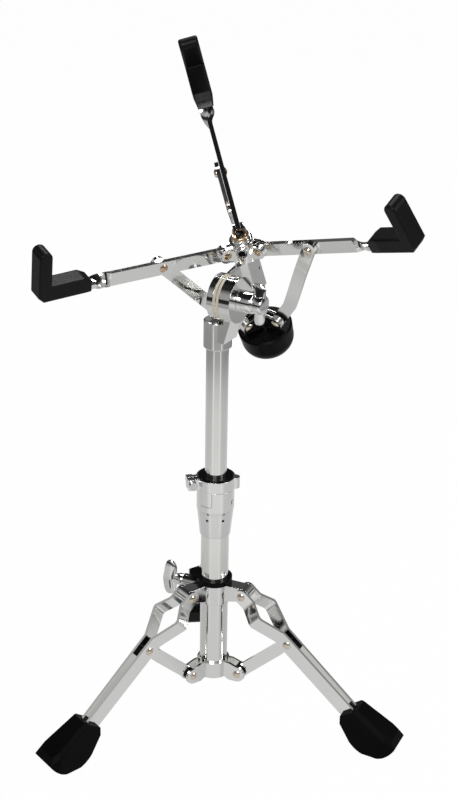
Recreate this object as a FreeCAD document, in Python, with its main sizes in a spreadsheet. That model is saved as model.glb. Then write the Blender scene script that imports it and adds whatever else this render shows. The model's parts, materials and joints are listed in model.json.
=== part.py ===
import FreeCAD, Part
import math
import os
from types import SimpleNamespace

import Sketcher
from FreeCAD import Placement, Rotation, Vector

# Snare drum stand: a folding tripod, a telescopic post and a tilting basket.
# Millimetres. The origin is the point on the floor below the post, Z points up,
# the front of the stand faces -Y.

# Driving dimensions: name, value, meaning
SIZES = [
    # General fits
    ("pin_play", 0.06, "radial clearance of a turning or sliding fit"),
    ("seat_play", 0.02, "radial clearance of a fixed seat"),
    ("rivet_radius", 2.5, "shank radius of the rivets"),
    ("rivet_head_radius", 4.4, "head radius of the rivets"),
    ("rivet_head_height", 1.6, "head height of the rivets"),
    # Post
    ("bush_wall", 1.52, "wall of the joint bush between the tubes"),
    ("lower_tube_wall", 1.6, "wall of the lower tube"),
    ("lower_tube_bottom", 44.0, "height of the lower end of the lower tube"),
    ("lower_tube_length", 217.5, "length of the lower tube"),
    ("upper_tube_radius", 11.1, "outer radius of the upper tube"),
    ("upper_tube_wall", 1.5, "wall of the upper tube"),
    ("upper_tube_length", 321.0, "length of the upper tube"),
    ("upper_tube_top", 439.0, "height of the upper end of the upper tube"),
    # Spider at the foot of the lower tube
    ("spider_pivot_reach", 15.7, "distance of the stay pivots from the lower tube"),
    ("spider_pivot_rise", 9.5, "height of the stay pivots over the plates' lower edge"),
    ("spider_drop", 2.0, "depth of the plates' lower edge below the tube end"),
    ("spider_height", 21.0, "height of the plates"),
    ("spider_arch_rise", 3.5, "rise of the arched lower edge at the tube"),
    ("spider_sheet", 2.5, "sheet thickness of the plates"),
    ("bush_thickness", 2.4, "thickness of the bushes beside the stays"),
    ("stay_side_play", 0.1, "side gap between stay and bush"),
    ("spider_spare", 1.0, "length of the cheek blanks beyond their rounded ends"),
    ("spider_brow", 2.0, "rise of the plates' upper edge towards the tube"),
    ("spider_end_radius", 8.5, "rounding of the cheek ends about the pivot"),
    ("bush_radius", 6.4, "outer radius of the bushes beside the stays"),
    # Stays
    ("stay_half_width", 6.5, "half the width of a stay"),
    ("stay_eye_radius", 5.0, "rounding of the outer end of a stay"),
    ("stay_thickness", 4.0, "thickness of a stay"),
    ("stay_neck", 18.0, "length over which a stay narrows to its outer eye"),
    ("stay_eye_hole", 3.2, "radius of the outer hole of a stay"),
    # Legs
    ("lug_reach", 18.1, "distance of the leg pivots from the collar's face"),
    ("strip_end_height", 13.57, "height of the strip ends in the feet"),
    ("leg_slope", 42.3, "slope of the legs below level, in degrees"),
    ("strip_width", 15.0, "width of a leg strip"),
    ("strip_thickness", 3.0, "thickness of a leg strip"),
    ("strip_end", 7.5, "length of a strip beyond the leg pivot"),
    ("strip_end_flat", 0.2, "flat left between the rounded corners of a strip end"),
    ("strip_pivot_offset", 9.0, "sideways offset of a strip at the pivot"),
    ("strip_flare_start", 12.0, "distance from the pivot to the flare"),
    ("strip_flare_offset", 20.5, "sideways offset of a strip at the widest point"),
    ("strip_flare_run", 16.0, "length over which a strip flares out"),
    ("strip_waist_offset", 5.5, "sideways offset where the strips close up"),
    ("strip_closing_run", 29.0, "length over which the strips close up"),
    ("strip_foot_offset", 4.1, "sideways offset at the foot"),
    ("strip_length", 199.0, "distance from the pivot to the strip end in the foot"),
    ("strip_bend_radius", 5.0, "bend radius of the strips"),
    ("spacer_inset", 0.5, "distance from the waist to the spacer"),
    ("spacer_rivet", 10.8, "distance from the spacer's inner end to its rivet"),
    ("spacer_length", 22.5, "length of the spacer"),
    ("spacer_play", 0.35, "side gap of the stay in the spacer"),
    ("spacer_web", 2.0, "thickness of the web over the channel"),
    ("spacer_open", 13.1, "length of the open part of the channel"),
    # Feet
    ("foot_flat_inner", 7.7, "length of the flat sole inside the strip end"),
    ("foot_flat_outer", 9.3, "length of the flat sole outside the strip end"),
    ("foot_sole_radius", 31.0, "radius of the rocker beside the sole"),
    ("foot_toe", 27.8, "distance from the strip end to the toe"),
    ("foot_toe_height", 15.0, "height of the toe edge"),
    ("foot_brow", 23.3, "distance from the strip end to the upper toe edge"),
    ("foot_brow_height", 22.5, "height of the upper toe edge"),
    ("foot_top", 15.7, "distance from the strip end back to the top edge"),
    ("foot_top_height", 48.0, "height of the top edge"),
    ("foot_neck", 33.7, "distance from the strip end back to the rear face"),
    ("foot_neck_height", 36.5, "height of the rear face's upper edge"),
    ("foot_heel_height", 27.5, "height of the rear face's lower edge"),
    ("foot_back", 22.2, "distance from the strip end back to the heel edge"),
    ("foot_back_height", 9.5, "height of the heel edge"),
    ("foot_neck_half_width", 11.5, "half width at the leg"),
    ("foot_toe_half_width", 17.0, "half width at the widest point"),
    ("foot_toe_taper", 2.0, "narrowing from the widest point to the toe"),
    ("foot_panel_chamfer", 4.0, "slant between top panel and sides"),
    ("foot_slot_end", 0.2, "gap at the strip end in the foot"),
    # Leg collar
    ("collar_wall", 2.04, "wall of the leg collar"),
    ("collar_drop", 14.5, "depth of the collar's lower edge below the leg pivots"),
    ("collar_height", 22.0, "height of the collar"),
    ("lug_play", 0.3, "side gap between lug and leg strips"),
    ("lug_root_rise", 3.0, "height of the lug root over the collar's lower edge"),
    ("lug_flat", 3.0, "flat lower edge of a lug before its rounded end"),
    ("lug_end_radius", 7.4, "rounding of the lugs about the pivot"),
    ("collar_boss_radius", 7.5, "radius of the bolt boss"),
    ("collar_boss_length", 17.6, "length of the bolt boss"),
    ("bolt_seat_gap", 0.1, "gap between a boss and the hub of its wing bolt"),
    ("bolt_tip_gap", 0.3, "gap between a bolt tip and the tube"),
    ("collar_boss_drop", 1.5, "depth of the bolt axis below the leg pivots"),
    ("cap_wall", 4.04, "wall of the collar cap"),
    ("cap_height", 5.5, "height of the collar cap"),
    ("cap_lobe_radius", 8.6, "radius of the cap lobe over the boss"),
    ("cap_lobe_offset", 2.6, "distance of the lobe from the collar's face"),
    # Wing bolts
    ("bolt_radius", 3.5, "shank radius of the wing bolts"),
    ("wing_hub_radius", 6.4, "hub radius of the wing bolts"),
    ("wing_hub_length", 13.0, "hub length of the wing bolts"),
    ("wing_root", 5.0, "half height of the wings at the hub"),
    ("wing_span", 18.5, "half height of the wings at the tips"),
    ("wing_neck", 3.0, "length of the neck between hub face and wings"),
    ("wing_tip_start", 7.5, "distance from the neck to the near edge of the tips"),
    ("wing_tip_end", 17.0, "distance from the neck to the far edge of the tips"),
    ("wing_crown", 19.0, "distance from the neck to the crown of the wings"),
    ("wing_thickness", 4.5, "thickness of the wings"),
    ("wing_round", 2.6, "rounding of the wing tips"),
    # Tube joint
    ("joint_height", 52.3, "height of the joint"),
    ("joint_cover", 1.8, "height of the joint over the lower tube"),
    ("joint_low_wall", 1.28, "wall at the lower edge"),
    ("joint_taper", 27.0, "height of the tapered part"),
    ("joint_shoulder", 3.0, "height of the shoulder over the taper"),
    ("joint_waist_wall", 4.08, "wall where the taper ends"),
    ("joint_wall", 4.78, "wall of the joint head"),
    ("joint_bolt_rise", 27.0, "height of the joint bolt over the lower edge"),
    ("joint_boss_length", 7.9, "length of the joint boss"),
    ("joint_hole_rise", 20.5, "height of the small front holes over the lower edge"),
    ("joint_hole_radius", 1.5, "radius of the small front holes"),
    ("joint_hole_angle", 27.0, "angle of the small front holes, in degrees"),
    ("joint_slot_rise", 39.0, "height of the side slot over the lower edge"),
    ("joint_slot_width", 3.0, "width of the side slot"),
    ("joint_slot_length", 5.0, "length of the side slot"),
    ("joint_skin", 1.0, "wall left behind the small holes and the slot"),
    ("bush_length", 32.0, "length of the joint bush"),
    ("bush_flange", 1.5, "flange thickness of the joint bush"),
    ("bush_flange_inset", 0.3, "setback of the bush flange from the tube's face"),
    # Memory lock
    ("lock_gap", 0.4, "gap between joint and memory lock"),
    ("lock_height", 11.8, "height of the memory lock"),
    ("lock_wall", 5.5, "wall of the memory lock"),
    ("lock_bush_wall", 3.04, "wall of the memory lock bush"),
    ("lock_bush_inset", 0.2, "setback of the bush from the lower edge"),
    ("lock_split", 2.4, "width of the split"),
    ("lock_ear_thickness", 5.0, "thickness of the ears"),
    ("lock_ear_length", 9.8, "length of the ears"),
    ("lock_tongue_width", 12.0, "width of the tongue"),
    ("lock_tongue_length", 16.1, "length of the tongue"),
    ("lock_tongue_gap", 0.7, "gap between tongue and lower tube"),
    ("lock_tongue_play", 0.3, "gap around the tongue in the joint"),
    ("lock_knuckle_radius", 4.6, "radius of the knuckle"),
    ("lock_knuckle_offset", 0.1, "distance of the knuckle axis from the lock's face"),
    ("lock_flange_width", 3.6, "width of the flange of the memory lock bush"),
    ("lock_flange_height", 1.5, "flange height of the memory lock bush"),
    ("key_bolt_radius", 2.5, "shank radius of the key bolt"),
    ("key_bolt_offset", 5.3, "distance of the key bolt from the lock's face"),
    ("key_head_width", 6.4, "width across the square head"),
    ("key_head_length", 7.0, "length of the square head"),
    ("key_nut_radius", 4.4, "radius of the nut end"),
    ("key_nut_length", 3.5, "length of the nut end"),
    # Tilter
    ("disc_clearance", 1.2, "gap between the discs and the tilter collar"),
    ("tilter_turn", -30.0, "direction of the tilt axis, in degrees"),
    ("basket_tilt", 26.0, "tilt of the basket in the photograph, in degrees"),
    ("neck_wall", 2.78, "wall of the tilter collar"),
    ("neck_bevel", 1.0, "bevel of the tilter collar"),
    ("neck_grip", 23.6, "length of the upper tube in the tilter collar"),
    ("neck_cover", 5.4, "height of the tilter collar over the upper tube"),
    ("neck_floor_gap", 0.2, "gap between the tube end and the collar's closed top"),
    ("disc_radius", 22.8, "radius of the tilter discs"),
    ("moving_disc", 6.5, "thickness of the moving disc"),
    ("nylon_washer", 2.9, "thickness of a nylon washer"),
    ("washer_inset", 0.2, "setback of the washers from the discs' rim"),
    ("spacer_disc", 0.7, "thickness of the spacer disc"),
    ("fixed_disc", 11.6, "thickness of the fixed disc"),
    ("disc_gap", 0.05, "gap between the moving disc and its washer"),
    ("neck_web_half_width", 12.5, "half width of the web between collar and fixed disc"),
    ("neck_web_start", 9.0, "height of the web's lower end over the collar's edge"),
    ("neck_web_setback", 2.0, "setback of the web from the face of the fixed disc"),
    ("tilt_bolt_radius", 4.0, "radius of the tilter bolt"),
    ("tilt_head_radius", 8.0, "radius of the head of the tilter bolt"),
    ("tilt_head_height", 4.5, "height of the head of the tilter bolt"),
    ("tilt_head_bevel", 1.5, "bevel of the head of the tilter bolt"),
    ("tilt_bolt_spare", 5.0, "length of the tilter bolt beyond the nut's hub"),
    ("nut_hub_radius", 10.5, "hub radius of the tilter wing nut"),
    ("nut_hub_length", 10.0, "hub length of the tilter wing nut"),
    ("nut_span", 21.0, "half height of the wings of the tilter wing nut"),
    ("nut_neck", 9.0, "length of the neck between hub face and wings of the nut"),
    # Basket, measured along the tilt axis, across it and along the rod
    ("rod_side", 4.2, "offset of the rod along the tilt axis"),
    ("rod_offset", 30.2, "distance of the rod behind the discs' rim"),
    ("apex_rise", 13.0, "height of the arms' apex over the tilt axis along the rod"),
    ("rod_radius", 4.5, "radius of the basket rod"),
    ("rod_stub", 1.0, "height of the rod over the hub collar"),
    ("rod_grip", 11.0, "length of the rod in the knob"),
    ("column_low_half", 8.0, "half width of the rod column at its lower end"),
    ("column_high_half", 7.0, "half width of the rod column at its upper end"),
    ("column_depth", 21.0, "depth of the rod column"),
    ("column_bottom", 53.0, "lower end of the column below the apex"),
    ("column_boss_radius", 9.0, "radius of the boss under the column"),
    ("column_boss_length", 6.0, "length of the boss under the column"),
    ("column_hole_radius", 1.4, "radius of the small hole in the column's side"),
    ("column_hole_back", 6.8, "distance of the small hole behind the rod"),
    ("column_hole_drop", 28.8, "depth of the small hole below the apex"),
    ("column_hole_depth", 4.0, "depth of the small hole"),
    ("bracket_web_low", 19.0, "lower edge of the bracket web below the tilt axis"),
    ("bracket_web_foot", 28.0, "lower edge of the bracket web at the rod column"),
    ("bracket_web_high", 16.0, "upper edge of the bracket web over the tilt axis"),
    ("hub_radius", 12.0, "radius of the hub"),
    ("hub_bottom", 8.0, "lower end of the hub below the apex"),
    ("hub_top", 15.0, "upper end of the hub over the apex"),
    ("hub_pivot_gap", 2.4, "gap between the hub and the arms' inner ends"),
    ("clevis_cheek", 3.0, "cheek thickness of the clevises"),
    ("clevis_play", 0.1, "side gap of a bar in its clevis"),
    ("clevis_floor", 0.3, "distance of the clevis floor from the body's face"),
    ("clevis_root", 6.0, "depth to which a clevis is sunk in its body"),
    ("hub_end_radius", 8.0, "rounding of the hub cheeks about the pivot"),
    ("hub_rim", 1.5, "height of the hub's rim over the cheeks"),
    ("brass_radius", 9.4, "outer radius of the hub collar"),
    ("brass_height", 6.0, "height of the hub collar"),
    ("brass_bevel", 1.6, "bevel of the hub collar"),
    ("hub_nose_radius", 5.6, "radius of the front nose of the hub"),
    ("hub_nose_reach", 16.0, "distance of the nose face from the rod axis"),
    ("hub_nose_hole", 3.8, "radius of the hole in the nose"),
    ("hub_nose_rise", 9.0, "distance of the nose axis over the apex"),
    # Arms and grips
    ("arm_rise", 20.9, "rise of the arms from the plane across the rod, in degrees"),
    ("arm_height", 14.0, "height of an arm on edge"),
    ("arm_thickness", 4.5, "thickness of an arm"),
    ("arm_link_distance", 90.5, "distance from the apex to the link rivet"),
    ("arm_tongue", 24.4, "length of the flat tongue beyond the twist"),
    ("arm_twist_length", 19.0, "length of the twist"),
    ("arm_length", 190.0, "distance from the apex to the arm end in the grip"),
    ("grip_cover", 20.0, "length of the arm in the grip"),
    ("grip_droop", 1.5, "turn of the grip towards level, in degrees"),
    ("grip_lift", 4.5, "height of the pad centre over the arm"),
    ("grip_length", 54.0, "length of the grip pad"),
    ("grip_pad_half", 8.0, "half thickness of the grip pad"),
    ("grip_upright", 13.0, "thickness of the upright"),
    ("grip_rise", 45.0, "height of the upright over the pad centre"),
    ("grip_width", 20.0, "width of the grip"),
    ("grip_nose", 8.0, "length of the slanted inner end"),
    ("grip_nose_rise", 3.6, "height of the inner end over the pad centre"),
    ("grip_nose_half_width", 8.0, "half width of the inner end"),
    ("grip_taper", 13.0, "length over which the pad narrows to its inner end"),
    ("grip_toe", 5.0, "bevel at the outer lower corner"),
    ("grip_edge_round", 2.4, "edge rounding of the grip"),
    # Links and slider
    ("slider_pivot_gap", 5.4, "gap between the slider sleeve and the links' lower ends"),
    ("slider_pivot_drop", 92.3, "distance of the link pivots below the apex"),
    ("slider_radius", 6.6, "radius of the slider sleeve"),
    ("slider_rise", 9.3, "height of the slider over the link pivots"),
    ("slider_depth", 11.4, "depth of the slider below the link pivots"),
    ("slider_rim", 1.0, "height of the slider's rims beyond the cheeks"),
    ("slider_end_radius", 7.0, "rounding of the slider cheeks about the pivot"),
    ("link_half_width", 6.5, "half width of a link"),
    ("link_thickness", 4.0, "thickness of a link"),
    ("link_bow", 4.6, "outward offset at the bend of a link"),
    ("link_bend", 36.0, "distance from the lower pivot to the bend"),
    ("link_joggle_start", 66.0, "distance from the lower pivot to the joggle"),
    ("link_joggle_length", 22.0, "length of the joggle"),
    ("link_side_gap", 0.35, "gap between link and arm"),
    ("link_tail", 11.0, "length of a link beyond its upper rivet"),
    ("link_boss_radius", 3.4, "radius of the rivet end on a link"),
    # Knob
    ("knob_gap", 0.3, "gap between slider and knob"),
    ("knob_radius", 28.0, "largest radius of the knob"),
    ("knob_draft", 1.0, "taper of the skirt"),
    ("knob_skirt", 15.0, "height of the skirt"),
    ("knob_base_radius", 16.5, "radius of the lower face"),
    ("knob_height", 31.5, "height of the knob"),
    ("knob_round", 17.5, "radius of the rounded lower edge"),
    ("knob_rim", 2.0, "bevel of the upper edge"),
    ("knob_bore_spare", 12.0, "length of the bore beyond the rod end"),
]

LEG_AZIMUTHS = {"left": -54.0, "right": 66.0, "rear": 186.0}
PLATE_AZIMUTHS = {"front": 6.0, "right": 126.0, "left": 246.0}
ARM_AZIMUTHS = {"left": 148.5, "right": -95.9, "rear": 37.4}
LINK_SIDES = {"left": -1, "right": -1, "rear": 1}
COLLAR_BOLT_AZIMUTH = -114.0
JOINT_BOLT_AZIMUTH = 180.0
JOINT_SLOT_AZIMUTH = 62.0
TONGUE_AZIMUTH = -30.0
LOCK_EAR_AZIMUTH = -75.0
KNUCKLE_AZIMUTH = 84.0
HUB_NOSE_AZIMUTH = 206.3
CHEEK_COS = 0.5
CHEEK_SIN = math.sqrt(3) / 2
TWIST_STEPS = 4
# How far a cut reaches past the face it opens, and how far joined blocks sink into each other
SPARE = 1.0
# Distance within which an edge counts as lying on a face
NEAR = 0.02

Z_AXIS = Vector(0, 0, 1)
Y_AXIS = Vector(0, 1, 0)
X_AXIS = Vector(1, 0, 0)

doc = FreeCAD.newDocument("snare_stand")
sheet = doc.addObject("Spreadsheet::Sheet", "Sizes")
pieces = []


class Size:
    """A dimension: its value and the expression that gives it in the document."""

    def __init__(self, value, text):
        self.value = float(value)
        self.text = text

    def __add__(self, other):
        other = as_size(other)
        return Size(self.value + other.value, "(%s + %s)" % (self.text, other.text))

    def __sub__(self, other):
        other = as_size(other)
        return Size(self.value - other.value, "(%s - %s)" % (self.text, other.text))

    def __mul__(self, other):
        other = as_size(other)
        return Size(self.value * other.value, "(%s * %s)" % (self.text, other.text))

    def __truediv__(self, other):
        other = as_size(other)
        return Size(self.value / other.value, "(%s / %s)" % (self.text, other.text))

    def __neg__(self):
        return Size(-self.value, "(0 - %s)" % self.text)

    def __radd__(self, other):
        return as_size(other) + self

    def __rsub__(self, other):
        return as_size(other) - self

    def __rmul__(self, other):
        return as_size(other) * self


def as_size(number):
    """The number as a Size; plain numbers become constants."""
    if isinstance(number, Size):
        return number
    return Size(number, "(%.6f)" % number)


def root(size):
    return Size(math.sqrt(size.value), "sqrt(%s)" % size.text)


def sine(size):
    return Size(math.sin(math.radians(size.value)), "sin(%s)" % size.text)


def cosine(size):
    return Size(math.cos(math.radians(size.value)), "cos(%s)" % size.text)


def fill_sheet():
    """Write the dimensions into the sheet and return them by name."""
    named = {}
    for row, (name, value, meaning) in enumerate(SIZES, 1):
        sheet.set("A%d" % row, meaning)
        sheet.set("B%d" % row, str(value))
        sheet.setAlias("B%d" % row, name)
        named[name] = Size(value, "Sizes.%s" % name)
    doc.recompute()
    return SimpleNamespace(**named)


def derive(d):
    """Sizes and places that follow from the driving dimensions."""
    d.lower_tube_radius = (d.upper_tube_radius + d.pin_play + d.bush_wall + d.seat_play
                           + d.lower_tube_wall)
    d.lower_tube_top = d.lower_tube_bottom + d.lower_tube_length
    d.upper_tube_bottom = d.upper_tube_top - d.upper_tube_length
    # Tripod
    d.spider_bottom = d.lower_tube_bottom - d.spider_drop
    d.spider_top = d.spider_bottom + d.spider_height
    d.spider_arch = d.spider_bottom + d.spider_arch_rise
    d.spider_pivot_height = d.spider_bottom + d.spider_pivot_rise
    d.spider_pivot_radius = d.lower_tube_radius + d.spider_pivot_reach
    d.spider_reach = d.spider_pivot_radius + d.spider_end_radius + d.spider_spare
    d.spider_gap = 0.5 * d.stay_thickness + d.stay_side_play + d.bush_thickness
    d.spacer_channel = 0.5 * d.stay_thickness + d.spacer_play
    d.strip_flare_distance = d.strip_flare_start + d.strip_flare_run
    d.strip_waist_distance = d.strip_flare_distance + d.strip_closing_run
    d.spacer_start = d.strip_waist_distance + d.spacer_inset
    d.leg_rivet_distance = d.spacer_start + d.spacer_rivet
    d.spacer_web_start = d.spacer_start + d.spacer_open
    d.lug_half_width = d.strip_pivot_offset - 0.5 * d.strip_thickness - d.lug_play
    d.collar_radius = d.lower_tube_radius + d.pin_play + d.collar_wall
    d.leg_pivot_radius = d.collar_radius + d.lug_reach
    d.leg_pivot_height = d.strip_end_height + d.strip_length * sine(d.leg_slope)
    d.foot_radius = d.leg_pivot_radius + d.strip_length * cosine(d.leg_slope)
    d.collar_bottom = d.leg_pivot_height - d.collar_drop
    d.collar_boss_height = d.leg_pivot_height - d.collar_boss_drop
    d.collar_boss_reach = d.collar_radius + d.collar_boss_length
    d.cap_radius = d.lower_tube_radius + d.pin_play + d.cap_wall
    d.cap_lobe_reach = d.collar_radius + d.cap_lobe_offset
    # Tube joint and memory lock
    joint_bore = d.lower_tube_radius + d.seat_play
    d.joint_top = d.lower_tube_top + d.joint_cover
    d.joint_bottom = d.joint_top - d.joint_height
    d.joint_low_radius = joint_bore + d.joint_low_wall
    d.joint_waist_height = d.joint_bottom + d.joint_taper
    d.joint_waist_radius = joint_bore + d.joint_waist_wall
    d.joint_radius = joint_bore + d.joint_wall
    d.joint_bolt_height = d.joint_bottom + d.joint_bolt_rise
    d.joint_boss_reach = d.joint_radius + d.joint_boss_length
    d.joint_hole_height = d.joint_bottom + d.joint_hole_rise
    d.joint_slot_height = d.joint_bottom + d.joint_slot_rise
    d.lock_bottom = d.joint_top + d.lock_gap
    d.lock_bore = d.upper_tube_radius + d.pin_play + d.lock_bush_wall
    d.lock_radius = d.lock_bore + d.lock_wall
    d.lock_ear_reach = d.lock_radius + d.lock_ear_length
    d.lock_tongue_bottom = d.lock_bottom - d.lock_tongue_length
    d.lock_tongue_inner = d.lower_tube_radius + d.lock_tongue_gap
    d.lock_knuckle_reach = d.lock_radius + d.lock_knuckle_offset
    d.lock_flange_radius = d.lock_bore + d.lock_flange_width
    d.key_bolt_reach = d.lock_radius + d.key_bolt_offset
    # Tilter and basket
    d.neck_radius = d.upper_tube_radius + d.seat_play + d.neck_wall
    d.neck_bottom = d.upper_tube_top - d.neck_grip
    d.neck_top = d.upper_tube_top + d.neck_cover
    d.tilt_height = d.neck_top + d.disc_radius + d.disc_clearance
    d.rod_back = d.disc_radius + d.rod_offset
    d.rod_top = d.hub_top + d.seat_play + d.brass_height + d.rod_stub
    d.hub_pivot_distance = d.hub_radius + 0.5 * d.arm_height + d.hub_pivot_gap
    d.arm_tongue_start = d.arm_length - d.arm_tongue
    d.arm_twist_start = d.arm_tongue_start - d.arm_twist_length
    d.grip_start = d.arm_length - d.grip_cover
    d.slider_pivot_radius = d.slider_radius + d.link_half_width + d.slider_pivot_gap
    d.slider_top = d.slider_pivot_drop - d.slider_rise
    d.slider_bottom = d.slider_pivot_drop + d.slider_depth
    d.knob_top = d.slider_bottom + d.knob_gap
    d.knob_skirt_radius = d.knob_radius - d.knob_draft
    d.rod_bottom = d.knob_top + d.rod_grip
    d.knob_bore_end = d.rod_bottom + d.knob_bore_spare


def bind(obj, prop, size):
    """Drive a property of an object by a Size."""
    size = as_size(size)
    obj.setExpression(prop, size.text)


# Frames


def shift(x, y, z):
    return Placement(Vector(as_size(x).value, as_size(y).value, as_size(z).value), Rotation())


def turn(axis, angle):
    return Placement(Vector(), Rotation(axis, as_size(angle).value))


def radial(azimuth):
    """Frame on the post axis with X pointing outward at the azimuth."""
    return turn(Z_AXIS, azimuth - 90)


def along_y(length):
    """Turns a cylinder of the given length into one centred on the Y axis."""
    return shift(0, -0.5 * as_size(length).value, 0) * turn(X_AXIS, -90)


ALONG_X = turn(Y_AXIS, 90)


# Sketching


def draw(sketch, corners):
    """Closed outline through the corners.

    A corner is (x, y) when a straight edge follows it and (x, y, radius, side) when an
    arc follows it; side is 1 for an arc that turns left and -1 for one that turns right.
    """
    first = sketch.GeometryCount
    count = len(corners)
    points = [(as_size(c[0]), as_size(c[1])) for c in corners]
    spots = [Vector(x.value, y.value, 0) for x, y in points]
    starts = []
    for index, corner in enumerate(corners):
        here = spots[index]
        there = spots[(index + 1) % count]
        if len(corner) == 2:
            sketch.addGeometry(Part.LineSegment(here, there), False)
        else:
            sketch.addGeometry(arc_between(here, there, as_size(corner[2]).value, corner[3]), False)
        at_start = (sketch.getPoint(first + index, 1) - here).Length < 1e-6
        starts.append(1 if at_start else 2)
    for index in range(count):
        after = (index + 1) % count
        sketch.addConstraint(Sketcher.Constraint(
            "Coincident", first + index, 3 - starts[index], first + after, starts[after]))
    for index, (x, y) in enumerate(points):
        fix_point(sketch, first + index, starts[index], x, y)
        if len(corners[index]) == 4:
            radius = as_size(corners[index][2])
            number = sketch.addConstraint(Sketcher.Constraint("Radius", first + index, radius.value))
            sketch.setExpression("Constraints[%d]" % number, radius.text)


def arc_between(here, there, radius, side):
    chord = there - here
    middle = (here + there) * 0.5
    left = Vector(-chord.y, chord.x, 0).normalize()
    depth = math.sqrt(max(radius ** 2 - (chord.Length / 2) ** 2, 0))
    centre = middle + left * (side * depth)
    return Part.Arc(here, centre - left * (side * radius), there)


def fix_point(sketch, geometry, point, x, y):
    for kind, size in (("DistanceX", x), ("DistanceY", y)):
        number = sketch.addConstraint(Sketcher.Constraint(kind, -1, 1, geometry, point, size.value))
        sketch.setExpression("Constraints[%d]" % number, size.text)


def circle(sketch, x, y, radius):
    x, y, radius = as_size(x), as_size(y), as_size(radius)
    ring = Part.Circle(Vector(x.value, y.value, 0), Z_AXIS, radius.value)
    index = sketch.addGeometry(ring, False)
    fix_point(sketch, index, 3, x, y)
    number = sketch.addConstraint(Sketcher.Constraint("Radius", index, radius.value))
    sketch.setExpression("Constraints[%d]" % number, radius.text)


def strip_outline(middle, half):
    """Outline of a bent strip from its middle line and half thickness, mitred at the bends."""
    spots = [Vector(as_size(x).value, as_size(y).value, 0) for x, y in middle]
    left, right = [], []
    for index, (x, y) in enumerate(middle):
        before = spots[index] - spots[index - 1] if index else spots[1] - spots[0]
        after = spots[index + 1] - spots[index] if index + 1 < len(spots) else before
        side = Vector(-before.y, before.x, 0).normalize() + Vector(-after.y, after.x, 0).normalize()
        reach = side * (2 / side.dot(side))
        left.append((x + half * reach.x, y + half * reach.y))
        right.append((x - half * reach.x, y - half * reach.y))
    return right + left[::-1]


def mirrored(corners):
    """The outline mirrored about the first axis, still running the same way round."""
    return [(x, -y) for x, y in corners[::-1]]


class Piece:
    """One body of the stand, drawn in its own frame."""

    def __init__(self, label):
        self.body = doc.addObject("PartDesign::Body", label)
        self.body.Label = label

    def add(self, kind):
        return self.body.newObject("PartDesign::" + kind, kind)

    def plane(self, role):
        return [f for f in self.body.Origin.OriginFeatures if f.Role == role][0]

    def sketch(self, role, lift=0, spin=None):
        """Sketch on an origin plane, lifted along its normal and turned by a rotation."""
        sketch = self.body.newObject("Sketcher::SketchObject", "Sketch")
        sketch.AttachmentSupport = [(self.plane(role), "")]
        sketch.MapMode = "FlatFace"
        if spin is not None:
            sketch.AttachmentOffset = Placement(Vector(), spin)
        bind(sketch, ".AttachmentOffset.Base.z", lift)
        return sketch

    def pad(self, sketch, length, both=False):
        pad = self.add("Pad")
        pad.Profile = sketch
        bind(pad, "Length", length)
        if both:
            pad.SideType = "Symmetric"
        return pad

    def pocket(self, sketch, length):
        """Cut to both sides of the sketch, over the given length in all."""
        pocket = self.add("Pocket")
        pocket.Profile = sketch
        bind(pocket, "Length", length)
        pocket.SideType = "Symmetric"
        return pocket

    def revolve(self, sketch, kind="Revolution"):
        feature = self.add(kind)
        feature.Profile = sketch
        feature.ReferenceAxis = (sketch, ["V_Axis"])
        feature.Angle = 360
        return feature

    def loft(self, sketches):
        loft = self.add("AdditiveLoft")
        loft.Profile = sketches[0]
        loft.Sections = sketches[1:]
        return loft

    def cylinder(self, radius, height, place, kind="Additive"):
        feature = self.add(kind + "Cylinder")
        bind(feature, "Radius", radius)
        bind(feature, "Height", height)
        feature.Placement = place
        return feature

    def bore(self, radius, length, place):
        return self.cylinder(radius, length, place, "Subtractive")

    def box(self, length, width, height, place, kind="Additive"):
        feature = self.add(kind + "Box")
        bind(feature, "Length", length)
        bind(feature, "Width", width)
        bind(feature, "Height", height)
        feature.Placement = place
        return feature

    def cut_box(self, length, width, height, place):
        return self.box(length, width, height, place, "Subtractive")

    def soften(self, kind, size, chosen):
        """Fillet or chamfer the edges for which chosen(edge) holds."""
        doc.recompute()
        base = self.body.Tip
        names = ["Edge%d" % n for n, edge in enumerate(base.Shape.Edges, 1) if chosen(edge)]
        feature = self.add(kind)
        feature.Base = (base, names)
        bind(feature, "Radius" if kind == "Fillet" else "Size", size)
        return feature

    def polar(self, feature, count):
        pattern = self.add("PolarPattern")
        pattern.Originals = [feature]
        axis = [f for f in self.body.Origin.OriginFeatures if f.Role == "Z_Axis"][0]
        pattern.Axis = (axis, [""])
        pattern.Angle = 360
        pattern.Occurrences = count
        self.body.Tip = pattern
        return pattern

    def done(self, place, listed=True):
        self.body.Placement = place
        if listed:
            pieces.append(self.body)
        return self.body


def group(label, members):
    """Several like bodies handled as one sub-part."""
    cluster = doc.addObject("Part::Compound", label)
    cluster.Label = label
    cluster.Links = members
    pieces.append(cluster)


def runs_along(edge, axis):
    if edge.Curve.TypeId != "Part::GeomLine":
        return False
    return abs(edge.tangentAt(edge.FirstParameter).dot(axis)) > 0.999


def middle_of(edge):
    return edge.valueAt((edge.FirstParameter + edge.LastParameter) / 2)


d = fill_sheet()
derive(d)


# Repeated kinds of piece


def pipe(label, place, outer, inner, length, listed=True):
    piece = Piece(label)
    ring = piece.sketch("XY_Plane")
    circle(ring, 0, 0, outer)
    circle(ring, 0, 0, inner)
    piece.pad(ring, length)
    return piece.done(place, listed)


def turned(label, place, profile, listed=True):
    """A turned piece from its profile of (radius, height) corners."""
    piece = Piece(label)
    sketch = piece.sketch("XZ_Plane")
    draw(sketch, profile)
    piece.revolve(sketch)
    return piece.done(place, listed)


def dome_radius():
    head = d.rivet_head_radius
    rise = d.rivet_head_height
    return (head * head + rise * rise) / (2 * rise)


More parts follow.
